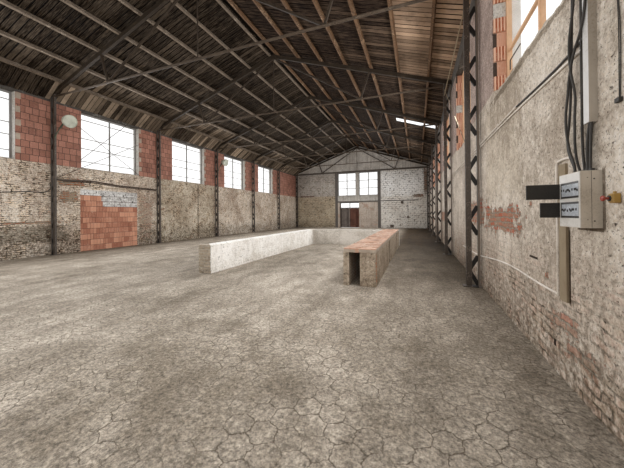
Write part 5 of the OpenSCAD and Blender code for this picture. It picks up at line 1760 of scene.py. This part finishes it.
@dataclass
class Floodlight:
    """An enamelled bowl lamp on an arm from a left column."""

    along: float
    middle: Point = (-6.72, 0.0, 5.35)

    def bowl(self) -> Piece:
        """Spins the bowl, the glass and the gear housing about the x axis.

        Returns:
            The lamp head.
        """
        profile = ((-0.19, 0.0), (-0.19, 0.075), (-0.10, 0.085), (-0.09, 0.13), (-0.02, 0.19), (0.07, 0.228),
            (0.15, 0.243), (0.185, 0.245), (0.185, 0.236), (0.165, 0.228), (0.163, 0.0))
        lines = [(i, i + 1) for i in range(len(profile) - 1)]
        piece = Bench.shell([(x, 0.0, r) for x, r in profile], lines)
        with Bench.editing():
            bpy.ops.mesh.select_all(action="SELECT")
            bpy.ops.mesh.spin(steps=32, angle=math.tau, center=(0, 0, 0), axis=(1, 0, 0))
            bpy.ops.mesh.select_all(action="SELECT")
            bpy.ops.mesh.remove_doubles(threshold=0.0005)
            bpy.ops.mesh.normals_make_consistent(inside=False)
        return piece

    def place(self) -> Matrix:
        """Places the head at the arm's end, turned a little along the hall and tilted down."""
        turn = Matrix.Rotation(math.radians(6.0), 4, "Z") @ Matrix.Rotation(math.radians(14.0), 4, "Y")
        return Matrix.Translation((self.middle[0] + 0.1, self.along + 0.2, self.middle[2])) @ turn

    def head(self) -> list[Piece]:
        """Makes the lamp head.

        Returns:
            The bowl and the fins of its housing, at their place.
        """
        made = [self.bowl(), *(Bench.block((-0.175, -0.08, d), (-0.1, 0.08, d + 0.008), 0.002)
            for d in (-0.06, -0.03, 0.0, 0.03, 0.06))]
        for part in made:
            part.data.transform(self.place())
        return made

    def arm(self) -> list[Piece]:
        """Makes the arm.

        Returns:
            The bent arm, its thicker end under the housing and its foot on the column.
        """
        y = self.along
        hold = self.place() @ Vector((-0.13, 0.0, -0.065))
        elbow = (-6.88, y + 0.09, 5.05)
        return [Bench.tube([(-6.968, y, 4.72), (-6.945, y + 0.025, 4.84), elbow, tuple(hold)], 0.019),
            Bench.bar(elbow, tuple(hold), 0.032, 12, 0.004), Bench.block((-6.9725, y - 0.03, 4.65),
            (-6.96, y + 0.03, 4.79), 0.002)]


@dataclass
class FarGable(Part):
    """What is fixed to the far gable: the ledge, the vent, the ring, the switch box and the door's boards."""

    face: float = 16.31

    def build(self) -> None:
        """Builds the gable's fittings and the leaves' boards."""
        y = self.face
        ledge = [Bench.block((2.49, y - 0.045, 3.0), (6.15, y, 3.045), 0.006),
            Bench.block((2.49, y - 0.02, 2.965), (6.15, y, 3.0), 0.004)]
        self.palette.fit("gable_ledge", ledge, "eaves_beam_paint", "dark_beam")
        iron = [Bench.block((4.5, y - 0.09, 2.66), (4.74, y, 2.93), 0.01),
            Bench.block((5.1, y - 0.07, 1.18), (5.25, y, 1.42), 0.008),
            Bench.bar((5.17, y - 0.014, 1.42), (5.17, y - 0.014, 2.96), 0.012, 10),
            Bench.block((3.42, y - 0.02, 0.2), (3.78, y, 0.5), 0.006)]
        for i in range(5):
            iron.append(Bench.block((3.45, y - 0.03, 0.24 + 0.05 * i), (3.75, y - 0.015, 0.255 + 0.05 * i), 0.002))
        Bench.pick()
        bpy.ops.mesh.primitive_torus_add(major_radius=0.21, minor_radius=0.009, major_segments=40, minor_segments=8,
            location=(4.6, y - 0.012, 1.46), rotation=(math.pi / 2, 0, 0))
        iron.append(Bench.settle(bpy.context.active_object))
        self.palette.fit("gable_fittings", iron, "bare_iron", "dark_steel")
        for body, side, low, high in ((Body.LEFT_LEAF, "left", -1.914, -0.903),
                (Body.RIGHT_LEAF, "right", -0.897, 0.114)):
            dice = random.Random(3)
            count = 8
            step = (high - low) / count
            parts = []
            for face, depth in ((16.662, -0.007), (16.71, 0.007)):
                for i in range(count):
                    board = Bench.block((low + i * step + 0.002, min(face, face + depth), 0.166),
                        (low + (i + 1) * step - 0.002, max(face, face + depth), 2.278), 0.0025)
                    parts.append(Bench.shade(board, dice.uniform(0.1, 0.8)))
            for z in (0.42, 1.92):
                board = Bench.block((low + 0.04, 16.643, z), (high - 0.04, 16.6555, z + 0.11), 0.003)
                parts.append(Bench.shade(board, 0.3))
            self.palette.fit(f"{side}_leaf_boards", parts, f"{side}_leaf_paint", "door_wood", body)


def main() -> None:
    """Builds the studio and every piece of the building, in order."""
    logging.basicConfig(level=logging.INFO, format="%(name)s %(message)s")
    Studio().build()
    palette = Palette()
    palette.mix()
    gaps = ((4.9, 7.18, 3.01, 3.31), (4.9, 7.18, 3.71, 4.46))
    RoofSlope(palette, Side.LEFT).build()
    RoofSlope(palette, Side.RIGHT, openings=gaps).build()
    for part in (Glazing, Wiring, FuseBox, Duct, Doorway, Reveals, LooseTimber):
        part(palette).build()
    lamps = (Floodlight(2.33), Floodlight(-6.99))
    heads, arms = ([part for lamp in lamps for part in made(lamp)] for made in (Floodlight.head, Floodlight.arm))
    palette.fit("bowl_floodlights", heads, "lamp_enamel", "lamp_enamel", replaces=["floodlights"], smooth=ROUND)
    palette.fit("floodlight_arms", arms, "arm_paint", "dark_steel", smooth=ROUND)
    FarGable(palette).build()


if __name__ == "__main__":
    main()
